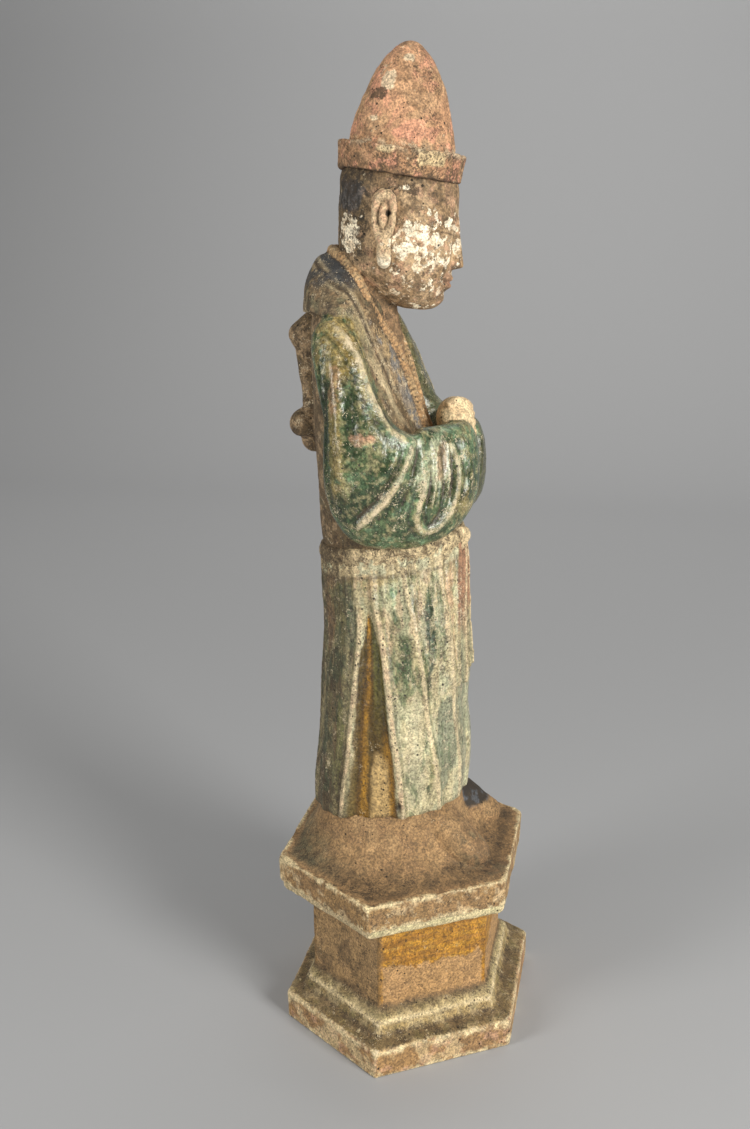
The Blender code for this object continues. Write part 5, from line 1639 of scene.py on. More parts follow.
def paint_bare_cloth(skin, rag, hollow):
    """The torso, collar, cord, hands and sash, which have little or no glaze."""
    p = skin.points
    x, _, z = p.T
    torso, shawl, cord, hands, sash = map(skin.part, BARE_FORMS)
    skin.lay(torso, TORSO_BROWN)
    skin.patches(torso, (7.0, 86, 0.45, 0.15, 0.7, EARTH_AND_SHADE), (12.0, 87, 0.3, 0.15, 0.5, GREY_GREEN),
                 (5.0, 88, 0.2, 0.08, 0.5, FACE_CLAY))
    skin.lay(shawl, COLLAR_BROWN)
    skin.patches(shawl, (9.0, 89, 0.40, 0.15, 0.7, GREY_GREEN),
                 (5.0, 90, 0.30, 0.08, 0.6, FACE_BROWN), (4.0, 92, 0.22, 0.06, 0.7, DARK_EARTH_AND_SHADE))
    keys = np.asarray(SHAWL)
    inner, crease, outer = keys[:, 0:3], keys[:, 3:6], keys[:, 6:9]
    lines = (crease, inner * 0.55 + crease * 0.45, crease * 0.55 + outer * 0.45)
    nape = ease(350.0, 357.0, z)
    for side in (-1.0, 1.0):
        wing = shawl * ease(0.0, 3.0, side * x)
        gaps = []
        for middle in lines:
            line = shawl_line(middle, 300)
            gaps.append(near_line(p, line[line[:, 0] * side > 2.0], 16.0)[0])
        gap, upper_gap, lower_gap = gaps
        band = ease(6.5, 4.0, upper_gap + 0.8 * rag) * wing
        skin.lay(band * ease(348.0, 338.0, z) * 0.8, BAND_TAN)
        skin.lay(band * skin.spots(5.0, 94, 0.35, 0.06) * ease(345.0, 330.0, z) * 0.8, BAND_BLUE)
        skin.lay(band * bump(z - 291.0, 11.0) * 0.65, BAND_BLUE)
        skin.lay(band * nape * 0.9, SLATE * 0.30)
        light = ease(7.0, 3.5, lower_gap + 1.2 * rag) * wing
        skin.lay(light * bump(z - 297.0, 17.0) * 0.9, RIDGE_CREAM)
        skin.lay(light * ease(318.0, 330.0, z) * ease(345.0, 335.0, z) * 0.5, GREY_STRAW)
        # Painted shade along the collar's crease
        skin.lay(bump(gap, 1.7) * wing * 0.85, DARK_EARTH_AND_SHADE)
        skin.lay(bump(gap - 2.6, 1.1) * wing * 0.5, RIDGE_CREAM * 0.8)
    skin.lay(nape * shawl * skin.spots(6.0, 96, 0.5, 0.1) * 0.8, SLATE * 0.35)
    run = cord_line(1500)
    gone = np.concatenate([[0.0], np.cumsum(np.linalg.norm(np.diff(run, axis=0), axis=1))])
    _, place = near_line(p, run, 8.0)
    ticks = np.cos(2 * math.pi * place * gone[-1] / CORD_TICK + 0.7 * rag)
    skin.lay(cord, CORD_TAN)
    skin.lay(cord * skin.spots(6.0, 97, 0.4, 0.15) * 0.6, BAND_TAN)
    worn = 0.45 + 0.4 * skin.spots(4.0, 101, 0.5, 0.15)
    skin.lay(cord * ease(0.35, 0.9, ticks) * worn, EARTH_AND_SHADE * 0.8)
    # Paler on the cord's raised parts: painted highlight
    skin.lay(cord * ease(0.1, 0.7, -hollow) * 0.25, RIDGE_CREAM)
    skin.lay(hands, PALE_CLAY * 1.08)
    skin.lay(hands * skin.spots(7.0, 98, 0.4, 0.2) * 0.5, CLAY)
    # Painted shade between the fingers
    skin.lay(hands * ease(0.2, 0.9, hollow) * 0.6, BROWN_CLAY)
    skin.lay(sash, TORSO_BROWN * 1.1)
    skin.patches(sash, (5.0, 99, 0.4, 0.1, 0.7, FACE_CLAY * 0.9),
                 (4.0, 100, 0.3, 0.08, 0.7, EARTH_AND_SHADE))
    skin.lay(sash * ease(0.2, 0.9, -hollow) * 0.5, FACE_CLAY * 1.1)


# Skirt with its belt, knot and ribbons

# Daubs of glaze on the skirt: angle and height of the middle, half sizes, strength, colour
SKIRT_DAUBS = (
    ((81.0, 180.0), (3.6, 9.0), 0.90, "teal"),
    ((52.0, 172.0), (3.2, 9.0), 0.85, "deep"),
    ((53.5, 153.0), (4.6, 21.0), 0.95, "deep"),
    ((33.4, 150.0), (1.3, 44.0), 0.95, "cream"),
    ((81.5, 157.0), (3.0, 8.0), 0.90, "deep"),
    ((76.0, 142.0), (7.5, 20.0), 0.75, "green"),
    ((75.0, 140.0), (3.5, 10.0), 0.80, "deep"),
    ((53.6, 142.0), (3.2, 20.0), 0.90, "deep"),
    ((73.5, 122.0), (6.5, 18.0), 0.80, "green"),
    ((60.0, 132.0), (4.0, 22.0), 0.70, "green"),
    ((55.0, 114.0), (2.6, 14.0), 0.80, "deep"),
    ((43.0, 150.0), (4.6, 26.0), 0.65, "green"),
    ((42.0, 176.0), (4.0, 10.0), 0.45, "green"),
    ((64.0, 170.0), (3.0, 9.0), 0.45, "green"),
    ((90.0, 176.0), (3.0, 8.0), 0.45, "green"),
    ((113.5, 160.0), (4.4, 22.0), 0.80, "deep"),
    ((131.0, 132.0), (7.0, 14.0), 0.70, "deep"),
    ((122.0, 100.0), (3.0, 12.0), 0.40, "deep"),
    ((122.5, 82.0), (3.4, 24.0), 0.90, "olive"),
    ((30.0, 172.0), (6.0, 15.0), 0.65, "bare"),
    ((36.0, 80.0), (11.0, 32.0), 1.00, "blue"),
    ((14.0, 80.0), (11.0, 38.0), 0.75, "blue"),
    ((64.0, 60.0), (7.0, 22.0), 0.45, "blue"),
    ((52.5, 66.0), (3.0, 19.0), 0.65, "olive"),
    ((53.0, 48.0), (2.6, 6.0), 0.90, "deep"),
    ((66.0, 92.0), (8.0, 18.0), 0.45, "cream"),
    ((93.0, 187.0), (20.0, 5.0), 0.50, "straw"),
)


def skirt_forms():
    forms = {"skirt": skirt_rings(420, 190), "belt": belt_rings(260, 14)}
    loop = loop_line(KNOT_LOOP, KNOT_LOOP_RADIUS, 1.15, 48, math.radians(215.0))
    forms["knot_loop"] = tube_rings(loop, [KNOT_TUBE] * len(loop), 16)
    forms["knot_lump"] = ball_rings(KNOT_LUMP, KNOT_LUMP_HALF, 24, 14)
    for number, ribbon in enumerate(RIBBONS):
        forms["ribbon_%d" % number] = ribbon_rings(ribbon, 16, 110)
    return forms


def paint_slit(skin, side, angle, down, mottle):
    """The panel in a side slit: amber runs on brown that is darkened as painted shade, olive edges and a
    bare foot, with painted shade along its sides.
    """
    p = skin.points
    inside = slit_place(angle, down, side)
    taper = 0.65 * ease(0.34, 0.13, down)
    panel = ease(0.14, 0.26, inside + 0.05 * mottle - taper) * ease(0.13, 0.18, down)
    wide = np.maximum(leaning(SLIT_REAR, down) - leaning(SLIT_FRONT, down), 1.0)
    across = np.clip(-side * wrapped(angle - side * leaning(SLIT_REAR, down)) / wide, 0.0, 1.0)
    streak = clouds(np.stack([across * 14.0, p[:, 2] * 0.05, across * 0.0], -1), 2.0, 107)
    # Brown glaze, darkened as painted shade of the recessed panel
    skin.lay(panel, SLIT_BROWN_AND_SHADE)
    skin.lay(panel * ease(0.1, 0.9, streak) * 0.75, DARK_AMBER)
    skin.lay(panel * ease(0.1, 0.7, -streak) * 0.35, SLIT_GREY)
    skin.lay(panel * ease(0.55, 0.62, across) * ease(0.72, 0.35, down) * 0.7, OLIVE * 0.8)
    amber = bump(across - 0.42 - 0.02 * mottle, 0.08) * ease(0.62, 0.45, down)
    amber = np.maximum(amber, bump(across - 0.36 - 0.03 * mottle, 0.10) * ease(0.4, 0.6, down))
    skin.lay(panel * ease(0.10, 0.9, amber) * (0.65 + 0.25 * np.tanh(mottle)), AMBER * 0.85)
    right = bump(across - 0.84 - 0.03 * mottle, 0.12) * ease(0.55, 0.75, down)
    skin.lay(panel * ease(0.10, 0.9, right) * 0.75, AMBER * 0.8)
    skin.lay(panel * bump(across - 0.26, 0.06) * ease(0.25, 0.5, down) * 0.7, DARK_AMBER * 0.8)
    skin.lay(panel * bump(across - 0.10, 0.07) * ease(0.5, 0.7, down) * 0.35, STRAW)
    foot = down + 0.07 * mottle + 0.05 * np.tanh(streak)
    middle = ease(0.47, 0.55, across + 0.02 * mottle) * ease(0.86, 0.76, across)
    bare = panel * ease(0.69, 0.80, foot) * middle
    skin.lay(bare * 0.9, SLIT_BARE)
    skin.pits = np.maximum(skin.pits, 0.35 * bare)
    # Painted shade along the panel's sides
    skin.lay(panel * ease(0.32, 0.16, inside) * 0.6, DARK_EARTH_AND_SHADE)
    return panel, bare


def skirt():
    skin = Skin(skirt_forms(), SKIRT_GRAIN, SKIRT_STRAW, SKIRT_CREAM)
    p = skin.points
    angle, height = skirt_place(p)
    relief = clouds(p * (1.0, 1.0, 0.4), 12.0, 91) * 0.32 + clouds(p, 3.2, 93) * 0.16
    chip = bump(wrapped(angle - 77.0), 2.4) * bump(height - HEM - 8.0, 4.0)
    skin.push(relief + clouds(p, 1.9, 94, 2) * 0.06 - 2.4 * chip)
    skin.smooth(1)
    p = skin.points
    angle, height = skirt_place(p)
    down = share_down(height)
    hollow = skin.hollow(5)
    tall = (1.0, 1.0, 0.34)
    mottle = clouds(p * (1.0, 1.0, 0.5), 6.0, 101)
    rag = clouds(p * (1.0, 1.0, 0.45), 5.0, 102) * 1.5
    cloth, belt, knot, ribbon = map(skin.part, ("skirt", "belt", "knot", "ribbon"))
    tinted = {"teal": SEA_GREEN, "deep": DEEP_GREEN, "green": GREEN, "olive": OLIVE,
              "bare": PINK_CLAY * 1.05, "blue": PALE_BLUE, "cream": CREAM, "straw": STRAW}

    turned = np.abs(wrapped(angle))
    rear = ease(106.0, 122.0, turned)
    skin.patches(1.0, (12.0, 103, 0.40, 0.15, 0.7, SKIRT_CREAM),
                 (6.0, 104, 0.30, 0.10, 0.45, MINT),
                 (5.0, 105, 0.22, 0.08, 0.5, SKIRT_PINK), stretch=tall)
    low = ease(0.42, 0.62, down) * (1.0 - rear)
    skin.lay(low * 0.65, SKIRT_PALE)
    skin.lay(low * skin.spots(7.0, 106, 0.35, 0.10, tall) * 0.5, MINT)
    # The back is laid in a dark olive: olive glaze, darkened further as painted shade
    skin.lay(rear * 0.85, REAR_OLIVE_AND_SHADE)
    skin.patches(rear, (9.0, 108, 0.40, 0.15, 0.7, EARTH_AND_SHADE),
                 (5.0, 109, 0.34, 0.08, 0.7, REAR_STRAW),
                 (4.0, 110, 0.22, 0.06, 0.7, DEEP_GREEN), stretch=tall)
    rear_top = rear * ease(0.45, 0.25, down)
    skin.lay(rear_top * skin.spots(10.0, 111, 0.35, 0.10, tall) * 0.7, BROWN_CLAY * 0.8)
    for middle, half, strength, word in SKIRT_DAUBS:
        mark = daub(turned, height, middle, half, rag)
        speckled = skin.spots(3.0, 112, 0.55, 0.12, tall) if word in ("deep", "green", "teal") else 0.7
        skin.lay(mark * strength * (0.35 + 0.65 * speckled), tinted[word])
    skin.lay(skin.spots(2.6, 113, 0.10, 0.05, tall) * (1.0 - rear) * 0.6, GREEN)
    skin.pits = 0.02 + 0.10 * skin.spots(9.0, 114, 0.25)
    skin.coat = 0.85 - 0.35 * rear
    skin.grime_and_shade = 0.38 + 0.12 * clouds(p * tall, 8.0, 115) + 0.16 * rear - 0.12 * low
    # More dirt in hollows, as painted shade
    skin.grime_and_shade += 0.35 * ease(0.1, 0.7, hollow)
    skin.flecks = 0.36 - 0.04 * rear + 0.12 * clouds(p * tall, 9.0, 116)
    skin.flecks += 0.3 * ease(0.2, 0.9, -hollow)
    skin.cover = 0.22 + 0.12 * mottle
    for side in (1.0, -1.0):
        panel, bare = paint_slit(skin, side, angle, down, mottle)
        skin.cover = skin.cover * (1.0 - 0.75 * panel)
        skin.coat = skin.coat * (1.0 - 0.5 * bare)
        skin.flecks -= 0.14 * panel
        for line, share in ((SLIT_REAR, 0.80), (SLIT_FRONT, 1.0)):
            off = wrapped(angle - side * leaning(line, down))
            ridge = ease(0.30, 0.75, bump(off, 2.3)) * share * ease(0.08, 0.20, down)
            skin.lay(ridge * (0.70 + 0.3 * skin.spots(4.0, 117, 0.6, 0.1)), RIDGE_CREAM)
            skin.lay(ridge * skin.spots(4.0, 118, 0.35, 0.08) * 0.6, SKIRT_PINK)
            skin.pits = np.maximum(skin.pits, 0.45 * ridge * skin.spots(5.0, 119, 0.5, 0.2))
            skin.coat = skin.coat * (1.0 - 0.5 * ridge)
            # Dark olive strips beside the slit's edges: painted shade
            beside = bump(side * off + (2.8 if line is SLIT_FRONT else -2.8), 1.2) * ease(0.05, 0.15, down)
            skin.lay(beside * 0.6, OLIVE * 0.45)
        for first, last, _, _, width in SIDE_FOLDS[2:4]:
            off = wrapped(angle - side * leaning((first, last), down))
            skin.lay(ease(0.35, 0.8, bump(off, 0.7 * width)) * 0.75, RIDGE_CREAM)
            # A dark strip on one side of each fold, in its groove: painted shade
            skin.lay(bump(side * off + 1.1 * width, 0.8) * 0.55, OLIVE * 0.5)
        off = wrapped(angle - side * leaning(SIDE_FOLDS[5][0:2], down))
        skin.lay(bump(off, 1.4) * 0.6 * ease(0.4, 0.7, down), REAR_STRAW)
    # Painted shade in hollows
    skin.lay(cloth * ease(0.2, 1.0, hollow) * 0.65, EARTH_AND_SHADE)
    skin.lay(cloth * ease(0.4, 1.2, -hollow) * 0.6, RIDGE_CREAM)
    # Dirt and painted shade along the hem
    skin.lay(bump(height - HEM - 1.0, 2.0) * 0.45 * skin.spots(5.0, 120, 0.5, 0.1), DARK_EARTH_AND_SHADE)
    yoke = ease(YOKE_LOW - 3.0, YOKE_LOW + 1.0, height)
    skin.lay(yoke * 0.75, YOKE_STRAW)
    skin.lay(yoke * skin.spots(6.0, 121, 0.35, 0.10) * 0.6, MINT)
    skin.lay(bump(height - YOKE_LOW + 2.0, 1.3) * 0.6, EARTH_AND_SHADE)
    skin.lay(belt, YOKE_STRAW)
    skin.lay(belt * skin.spots(7.0, 122, 0.35, 0.12) * 0.7, PALE_CLAY)
    skin.lay(belt * ease(95.0, 125.0, turned) * 0.7, TORSO_BROWN * 1.15)
    skin.lay(belt * skin.spots(4.0, 123, 0.22, 0.06) * 0.7, EARTH_AND_SHADE)
    # Painted shade in the belt's hollows
    skin.lay(belt * ease(0.15, 0.8, hollow) * 0.8, EARTH_AND_SHADE)
    # The chip painted black: painted shade in the chip
    skin.lay(chip, SOOT)
    skin.lay(knot, PALE_CLAY * 0.88)
    # Painted shade in the knot's hollows
    skin.lay(knot * ease(0.1, 0.8, hollow) * 0.85, EARTH_AND_SHADE)
    skin.lay(ribbon, SKIRT_STRAW * 0.9)
    skin.lay(ribbon * skin.spots(6.0, 124, 0.4, 0.15, tall) * 0.5, GREY_GREEN)
    for number, (top_x, end_x, top_height, end_height, half, _) in enumerate(RIBBONS):
        strip = skin.part("ribbon_%d" % number)
        gone = np.clip((top_height - p[:, 2]) / (top_height - end_height), 0.0, 1.0)
        place = (p[:, 0] - top_x - (end_x - top_x) * gone**0.8) / half
        skin.lay(strip * ease(0.75, 0.35, gone + 0.1 * mottle) * 0.85, RIBBON_ROSE)
        skin.lay(strip * bump(place, 0.5) * ease(0.45, 0.75, gone) * 0.7, PALE_BLUE * 0.9)
        skin.lay(strip * ease(0.35, 0.8, bump(place - 0.75, 0.22)) * 0.7, RIDGE_CREAM)
    # Painted shade in the ribbons' hollows
    skin.lay(ribbon * ease(0.15, 0.8, hollow) * 0.8, SLATE * 0.6)
    bare = skin.soften(np.clip(belt + knot + ribbon, 0.0, 1.0), 1)
    skin.lay(rear, REAR_STRAW, True)
    skin.lay(bare, PALE_CLAY, True)
    skin.cover *= 1.0 - 0.5 * bare - 0.4 * ribbon
    skin.coat = np.clip(skin.coat * (1.0 - 0.8 * bare) - 0.35 * yoke, 0.0, 1.0)
    skin.pits = skin.pits * (1.0 - bare) + 0.03 * bare
    skin.grime_and_shade += 0.10 * belt + 0.08 * yoke
    skin.finish("skirt", clay_material("glazed_skirt", 0.0038, 0.13))


# Slab, mound and shoes

MOUND_MARKS = (((11.0, 19.0), (3.0, 7.0)), ((-1.0, 15.0), (4.0, 2.6)), ((-16.0, 32.0), (7.0, 3.4)))


def ground():
    forms = {"slab": slab_rings(), "mound": mound_rings(220, 60)}
    for side, word in SIDES:
        forms["shoe_" + word] = shoe_rings(side, 96, 80)
    skin = Skin(forms, GROUND_GRAIN, MOUND_CLAY, MOUND_PALE * 1.1)
    inland = ease(3.0, 9.0, slab_margin(skin.points)) * ease(-3.0, -0.5, skin.points[:, 2])
    low = ease(20.0, 10.0, skin.points[:, 2])
    shoes = skin.soften(skin.part("shoe"), 8)
    skin.smooth(34, inland * low * (1.0 - 0.9 * shoes))
    skin.smooth(6, inland)
    skin.smooth(1)
    brink = ease(0.3, 1.2, -skin.hollow(10)) * (1.0 - inland)
    skin.smooth(5, ease(0.5, 1.3, -skin.hollow(12)) * (1.0 - inland))
    p = skin.points
    chips = ease(0.25, 0.75, clouds(p, 9.0, 131)) * brink
    rough = clouds(p, 16.0, 125) * 0.5 + clouds(p * (0.45, 1.0, 0.6), 4.5, 124) * 0.16
    skin.push(rough + clouds(p, 2.6, 126, 3) * 0.09 - 1.9 * chips)
    p = skin.points
    x, y, z = p.T
    hollow = skin.hollow(6)
    wide = skin.hollow(40)
    edge = ease(0.15, 0.7, -skin.hollow(10)) * (1.0 - inland)
    mottle = clouds(p, 7.0, 127)
    rag = clouds(p, 5.0, 128)
    low = -SLAB_THICK / UNIT
    side_face = (1.0 - inland) * ease(-1.0, -2.5, z) * ease(low, low + 1.0, z)
    over_sole = ease(16.5, 18.5, z - 0.03 * (y + 45.0)) * ease(-30.0, -36.0, y)
    left_shoe = skin.soften(skin.part("shoe_left") * over_sole, 1)
    right_shoe = skin.part("shoe_right") * ease(-38.0, -50.0, y)
    skin.patches(1.0, (15.0, 129, 0.40, 0.2, 0.55, MOUND_PALE),
                 (6.0, 130, 0.35, 0.15, 0.55, BROWN_CLAY))
    skin.lay(inland * ease(9.0, 1.0, z) * 0.65, SLAB_BROWN)
    skin.lay(inland * ease(12.0, 1.0, z) * skin.spots(7.0, 132, 0.42, 0.12) * 0.65, EARTH_AND_SHADE)
    back_left = ease(20.0, 55.0, y) * ease(26.0, 2.0, z) * inland
    skin.lay(back_left * (0.45 + 0.35 * skin.spots(6.0, 133, 0.5, 0.15)), GREY_GREEN * 0.8)
    before_right = ease(-8.0, -30.0, x) * ease(-28.0, -42.0, y) * inland
    skin.lay(before_right * skin.spots(5.0, 134, 0.35, 0.1) * 0.5, EARTH_AND_SHADE)
    for middle, half in MOUND_MARKS:
        skin.lay(daub(y, z, middle, half, rag) * (x < 0.0) * inland * 0.55, MOUND_PALE * 1.08)
    skin.lay(side_face, SLAB_SIDE)
    skin.patches(side_face, (9.0, 135, 0.4, 0.2, 0.45, BROWN_CLAY),
                 (5.0, 136, 0.20, 0.10, 0.4, EARTH_AND_SHADE), (7.0, 138, 0.16, 0.08, 0.45, PALE_CLAY))
    skin.lay(right_shoe * 0.6, BROWN_CLAY * 0.85)
    skin.lay(right_shoe * skin.spots(5.0, 139, 0.4, 0.15) * 0.45, GREY_GREEN)
    skin.lay(left_shoe * 0.94, SOOT * 1.2)
    skin.lay(left_shoe * skin.spots(4.0, 140, 0.30, 0.08) * 0.7, SLATE * 0.9)
    skin.lay(right_shoe * ease(16.0, 9.0, z) * 0.4, EARTH_AND_SHADE)
    skin.lay(edge * (0.30 + 0.65 * skin.spots(6.0, 141, 0.6, 0.10)), EDGE_CREAM * 1.05)
    skin.lay(ease(0.05, 0.25, skin.soften(edge, 16)) * skin.spots(6.0, 143, 0.50, 0.06) * 0.9, EDGE_CREAM)
    # Painted shade in hollows and broad hollows
    skin.lay(ease(0.15, 0.9, hollow) * 0.7, EARTH_AND_SHADE)
    skin.lay(ease(0.5, 1.6, wide) * 0.35, EARTH_AND_SHADE)
    skin.lay(ease(0.4, 1.2, -hollow) * inland * 0.3, MOUND_PALE)
    skin.cover = 0.14 + 0.08 * mottle + 0.3 * edge
    skin.coat = 0.30 * left_shoe
    skin.pits = 0.015 + 0.04 * skin.spots(9.0, 142, 0.3)
    skin.grime_and_shade = 0.28 + 0.10 * mottle + 0.18 * inland * ease(9.0, 1.0, z) + 0.15 * back_left
    # More dirt in hollows, as painted shade
    skin.grime_and_shade += 0.3 * ease(0.1, 0.8, hollow) + 0.08 * side_face
    skin.flecks = 0.16 + 0.06 * rag + 0.35 * edge + 0.08 * side_face
    skin.finish("ground", clay_material("bare_ground", 0.0060, 0.45))


# Plinth under the slab

def plinth():
    skin = Skin({"plinth": plinth_rings()}, PLINTH_GRAIN, BASE_CLAY, PALE_CLAY)
    skin.smooth(1)
    skin.smooth(4, ease(0.5, 1.3, -skin.hollow(12)))
    p = skin.points
    ground_level = -SLAB_TOP / UNIT
    corner = ease(0.25, 1.1, -skin.hollow(10))
    above = ease(ground_level + 0.5, ground_level + 3.0, p[:, 2])
    chips = ease(0.15, 0.65, clouds(p, 8.0, 151)) * corner
    rough = clouds(p, 18.0, 153) * 0.32 + clouds(p, 4.0, 155) * 0.2 + clouds(p, 2.2, 156, 2) * 0.08
    skin.push((rough - 1.6 * chips) * above)
    skin.points[:, 2] = np.maximum(skin.points[:, 2], ground_level)
    skin.refresh()
    p = skin.points
    x, y, z = p.T
    rise = (z - ground_level) * UNIT
    hollow = skin.hollow(6)
    edge = ease(0.15, 0.8, -skin.hollow(8))
    mottle = clouds(p, 7.0, 157)
    hair = 0.0007
    over_foot = ease(FOOT_TOP - hair, FOOT_TOP + hair, rise)
    band = ease(WAIST_TOP - hair, WAIST_TOP + hair, rise)
    waist = over_foot * (1.0 - band)
    foot = ease(BASE_THICK - hair, BASE_THICK + hair, rise) * (1.0 - over_foot)
    base = ease(BASE_THICK - 0.0004, BASE_THICK - 0.0014, rise)
    # Faces towards the stronger lamp: the plinth is painted lighter there and darker elsewhere, as painted
    # light and shade
    lit = skin.soften(ease(-0.15, -0.5, skin.normals[:, 1]), 4)
    skin.patches(1.0, (14.0, 158, 0.42, 0.15, 0.6, BROWN_CLAY),
                 (6.0, 159, 0.28, 0.10, 0.6, PINK_CLAY))
    skin.lay(base * (1.0 - lit) * skin.spots(11.0, 160, 0.50, 0.20) * 0.55, EDGE_CREAM)
    skin.lay(base * lit * skin.spots(9.0, 161, 0.18, 0.10) * 0.4, EDGE_CREAM)
    # The foot lighter on faces towards the lamp: painted light
    skin.lay(foot * 0.9, FOOT_OLIVE * (0.8 + 0.5 * lit[:, None]))
    skin.patches(foot, (6.0, 163, 0.36, 0.20, 0.4, EDGE_CREAM * 0.85),
                 (5.0, 164, 0.25, 0.15, 0.3, OLIVE))
    upper = ease(STEP_TOP, STEP_TOP + hair, rise) * ease(FOOT_TOP, FOOT_TOP - 0.0015, rise)
    # More cream on faces towards the lamp: painted light
    cream_share = (0.35 + 0.3 * skin.spots(9.0, 176, 0.5, 0.3)) * (0.5 + 0.5 * lit)
    skin.lay(upper * cream_share, EDGE_CREAM * (0.86, 0.90, 0.80))
    # Dirt and painted shade in the angle at the foot of the step
    angle_dirt_and_shade = bump(rise - STEP_LOW, 0.0018) * (0.35 + 0.45 * skin.spots(6.0, 162, 0.55, 0.2))
    skin.lay(angle_dirt_and_shade, EARTH_AND_SHADE)
    # Painted shade in the angle where the waist rises from the sloping foot
    under_waist = bump(rise - FOOT_TOP, 0.0022)
    skin.lay(foot * under_waist * (0.4 + 0.4 * skin.spots(5.0, 178, 0.6, 0.2)), EARTH_AND_SHADE * 1.1)
    # Worn cream and a painted highlight along the step's top edge
    ledge = bump(rise - STEP_TOP, 0.0012) * (0.45 + 0.5 * skin.spots(7.0, 177, 0.7, 0.15))
    skin.lay(ledge * foot, EDGE_CREAM)
    skin.lay(band * 0.9, BAND_CREAM * (1.02, 0.97, 0.86))
    skin.lay(band * skin.spots(6.0, 165, 0.35, 0.12) * 0.4, EDGE_CREAM)
    # The band darker on faces away from the lamp: painted shade
    skin.lay(band * (1.0 - lit) * 0.5, FACE_CLAY)
    brushed = clouds(np.stack([x * 0.10, y * 0.10, z], -1), 2.2, 166)
    away = corner_margin(p)
    rag = clouds(p, 6.0, 167) + 0.5 * clouds(p, 2.4, 168)
    line = FOOT_TOP + 0.47 * WAIST_HEIGHT + 0.0030 * rag
    corner_runs = ease(2.6, 1.6, away + 0.8 * rag) * ease(0.0, 0.004, rise - FOOT_TOP)
    amber = np.maximum(ease(0.0, 0.0008, rise - line), corner_runs) * waist * lit
    # The waist in a lighter pink towards the lamp and a darker grey away from it: painted light and shade
    skin.lay(waist * lit * 0.9, WAIST_LIT_PINK)
    skin.lay(waist * (1.0 - lit) * 0.9, WAIST_SHADED_GREY)
    # Dark patches on faces away from the lamp: painted shade
    skin.lay(waist * (1.0 - lit) * skin.spots(9.0, 169, 0.35, 0.12) * 0.6, EARTH_AND_SHADE)
    strip = ease(3.2, 1.8, away + 0.8 * rag) * waist * (1.0 - lit) * ease(0.05, 0.2, 0.3 * rag + 0.25)
    skin.lay(strip * 0.6, DARK_AMBER)
    skin.lay(amber, AMBER_DEEP)
    skin.lay(amber * ease(-0.2, 0.6, brushed) * 0.75, AMBER)
    skin.lay(amber * ease(0.2, 0.9, -brushed) * 0.6, DARK_AMBER)
    skin.lay(amber * ease(0.4, 1.0, brushed) * skin.spots(4.0, 170, 0.3, 0.1) * 0.5, AMBER_PALE)
    skin.lay(edge * (1.0 - waist) * (0.35 + 0.6 * skin.spots(6.0, 171, 0.65, 0.12)), EDGE_CREAM)
    chipped = ease(0.05, 0.25, skin.soften(edge, 16)) * base * skin.spots(6.0, 179, 0.50, 0.06)
    skin.lay(chipped * 0.95, EDGE_CREAM * 1.05)
    # Painted shade in hollows
    skin.lay(ease(0.12, 0.8, hollow) * 0.75, EARTH_AND_SHADE)
    # More painted shade where the waist rises from the foot
    skin.lay(under_waist * 0.5 * (1.0 - amber), EARTH_AND_SHADE)
    skin.lay(foot, EDGE_CREAM * 0.9, True)
    skin.cover = 0.18 + 0.10 * mottle + 0.12 * foot - 0.14 * amber
    skin.coat = np.clip(0.75 * amber + 0.45 * band + 0.15 * foot, 0.0, 1.0)
    skin.pits = 0.02 + 0.05 * skin.spots(8.0, 172, 0.3)
    # More dirt in hollows, as painted shade
    skin.grime_and_shade = 0.28 + 0.10 * clouds(p, 8.0, 173) + 0.14 * foot + 0.3 * ease(0.1, 0.8, hollow)
    # More dirt on faces away from the lamp, as painted shade
    skin.grime_and_shade += 0.10 * waist * (1.0 - lit) + 0.06 * amber - 0.05 * band
    skin.flecks = 0.18 + 0.07 * mottle + 0.30 * edge * (1.0 - waist) + 0.10 * foot
    skin.finish("plinth", clay_material("clay_plinth", 0.0056, 0.30))


# Camera, light and floor

IMAGE_HEIGHT = 1129
FOCAL_PIXELS = 1200.0
SENSOR = 36.0
CAMERA_DISTANCE = 0.7188
CAMERA_HEIGHT = 0.4985
CAMERA_AZIMUTH = math.radians(-79.03)
CAMERA_PITCH = math.radians(15.56)
CAMERA_YAW = math.radians(1.50)
CAMERA_ROLL = math.radians(-0.28)
CLIP_START = 0.02


def set_camera():
    data = bpy.data.cameras.new("camera")
    data.sensor_width = SENSOR
    data.lens = FOCAL_PIXELS / IMAGE_HEIGHT * SENSOR
    data.clip_start = CLIP_START
    camera = new_object("camera", data)
    heading = CAMERA_AZIMUTH + CAMERA_YAW
    level = Vector((-math.sin(heading), math.cos(heading), 0.0))
    forward = level * math.cos(CAMERA_PITCH) - Vector((0.0, 0.0, math.sin(CAMERA_PITCH)))
    right = forward.cross(Vector((0.0, 0.0, 1.0))).normalized()
    up = right.cross(forward)
    c, s = math.cos(CAMERA_ROLL), math.sin(CAMERA_ROLL)
    right, up = right * c + up * s, up * c - right * s
    turned = Matrix((right, up, -forward)).transposed().to_4x4()
    turned.translation = (
        math.sin(CAMERA_AZIMUTH) * CAMERA_DISTANCE,
        -math.cos(CAMERA_AZIMUTH) * CAMERA_DISTANCE + ORIGIN_SHIFT,
        CAMERA_HEIGHT,
    )
    camera.matrix_world = turned
    bpy.context.scene.camera = camera


WARM_LIGHT = (1.0, 0.975, 0.90)
ROOM_LIGHT = (0.60, 0.588, 0.545, 1.0)
ROOM_STRENGTH = 0.34
FIGURE_MIDDLE = (0.0, 0.0, 0.32)

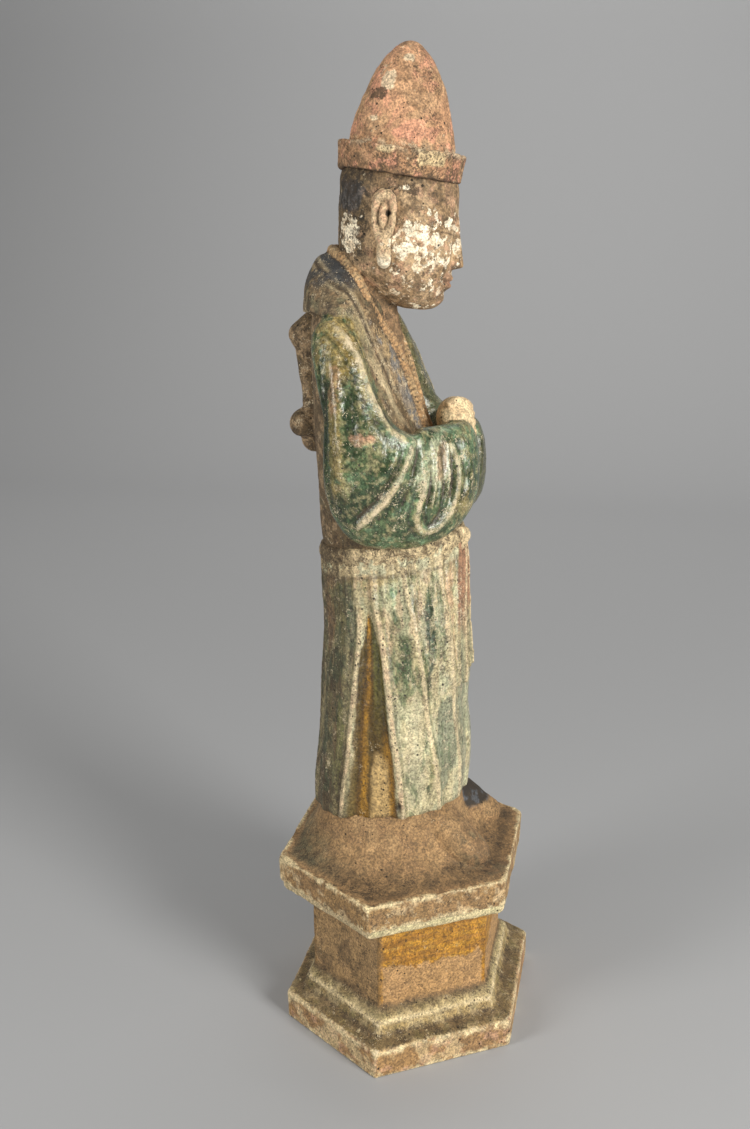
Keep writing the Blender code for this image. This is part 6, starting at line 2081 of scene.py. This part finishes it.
# Lights: where each stands, its two sizes, its power and what it faces
LIGHTS = {
    "light_left": ((-0.95, 0.95, 0.72), (0.45, 0.8), 10.5, FIGURE_MIDDLE),
    "light_right": ((-0.85, -1.15, 0.72), (0.45, 0.8), 26.0, FIGURE_MIDDLE),
    "light_wall": ((1.2, 0.0, 2.2), (2.0, 0.6), 26.0, (2.4, 0.0, 0.7)),
}


def set_light():
    for name, (place, size, power, aim) in LIGHTS.items():
        data = bpy.data.lights.new(name, "AREA")
        data.shape = "RECTANGLE"
        data.size, data.size_y = size
        data.energy = power
        data.color = WARM_LIGHT
        light = new_object(name, data)
        light.location = place
        light.rotation_euler = (Vector(aim) - Vector(place)).to_track_quat("-Z", "Y").to_euler()
    world = bpy.data.worlds.new("room")
    world.use_nodes = True
    world.node_tree.nodes["Background"].inputs["Color"].default_value = ROOM_LIGHT
    world.node_tree.nodes["Background"].inputs["Strength"].default_value = ROOM_STRENGTH
    bpy.context.scene.world = world
    bpy.context.scene.view_settings.view_transform = "Standard"


# The floor runs level and then curves up behind the figure
FLOOR_HALF = 4.0
CURVE_START = 1.5
CURVE_RADIUS = 1.0
WALL_TOP = 3.0
FLOOR_COLOUR = (0.40, 0.408, 0.436, 1.0)


def set_floor():
    profile = [(-FLOOR_HALF, 0.0), (CURVE_START, 0.0)]
    for a in np.linspace(0.0, math.pi / 2, 24)[1:]:
        profile.append((CURVE_START + CURVE_RADIUS * math.sin(a), CURVE_RADIUS * (1.0 - math.cos(a))))
    profile.append((CURVE_START + CURVE_RADIUS, WALL_TOP))
    corners = [(x, y, z) for x, z in profile for y in (-FLOOR_HALF, FLOOR_HALF)]
    strips = [(2 * i, 2 * i + 2, 2 * i + 3, 2 * i + 1) for i in range(len(profile) - 1)]
    mesh = bpy.data.meshes.new("floor")
    mesh.from_pydata(corners, [], strips)
    mesh.shade_smooth()
    material = bpy.data.materials.new("floor")
    material.use_nodes = True
    shader = material.node_tree.nodes["Principled BSDF"]
    shader.inputs["Base Color"].default_value = FLOOR_COLOUR
    shader.inputs["Roughness"].default_value = 0.9
    mesh.materials.append(material)
    floor = new_object("floor", mesh)


set_camera()
set_light()
set_floor()
for make in (plinth, ground, skirt, robe, head, hat):
    make()
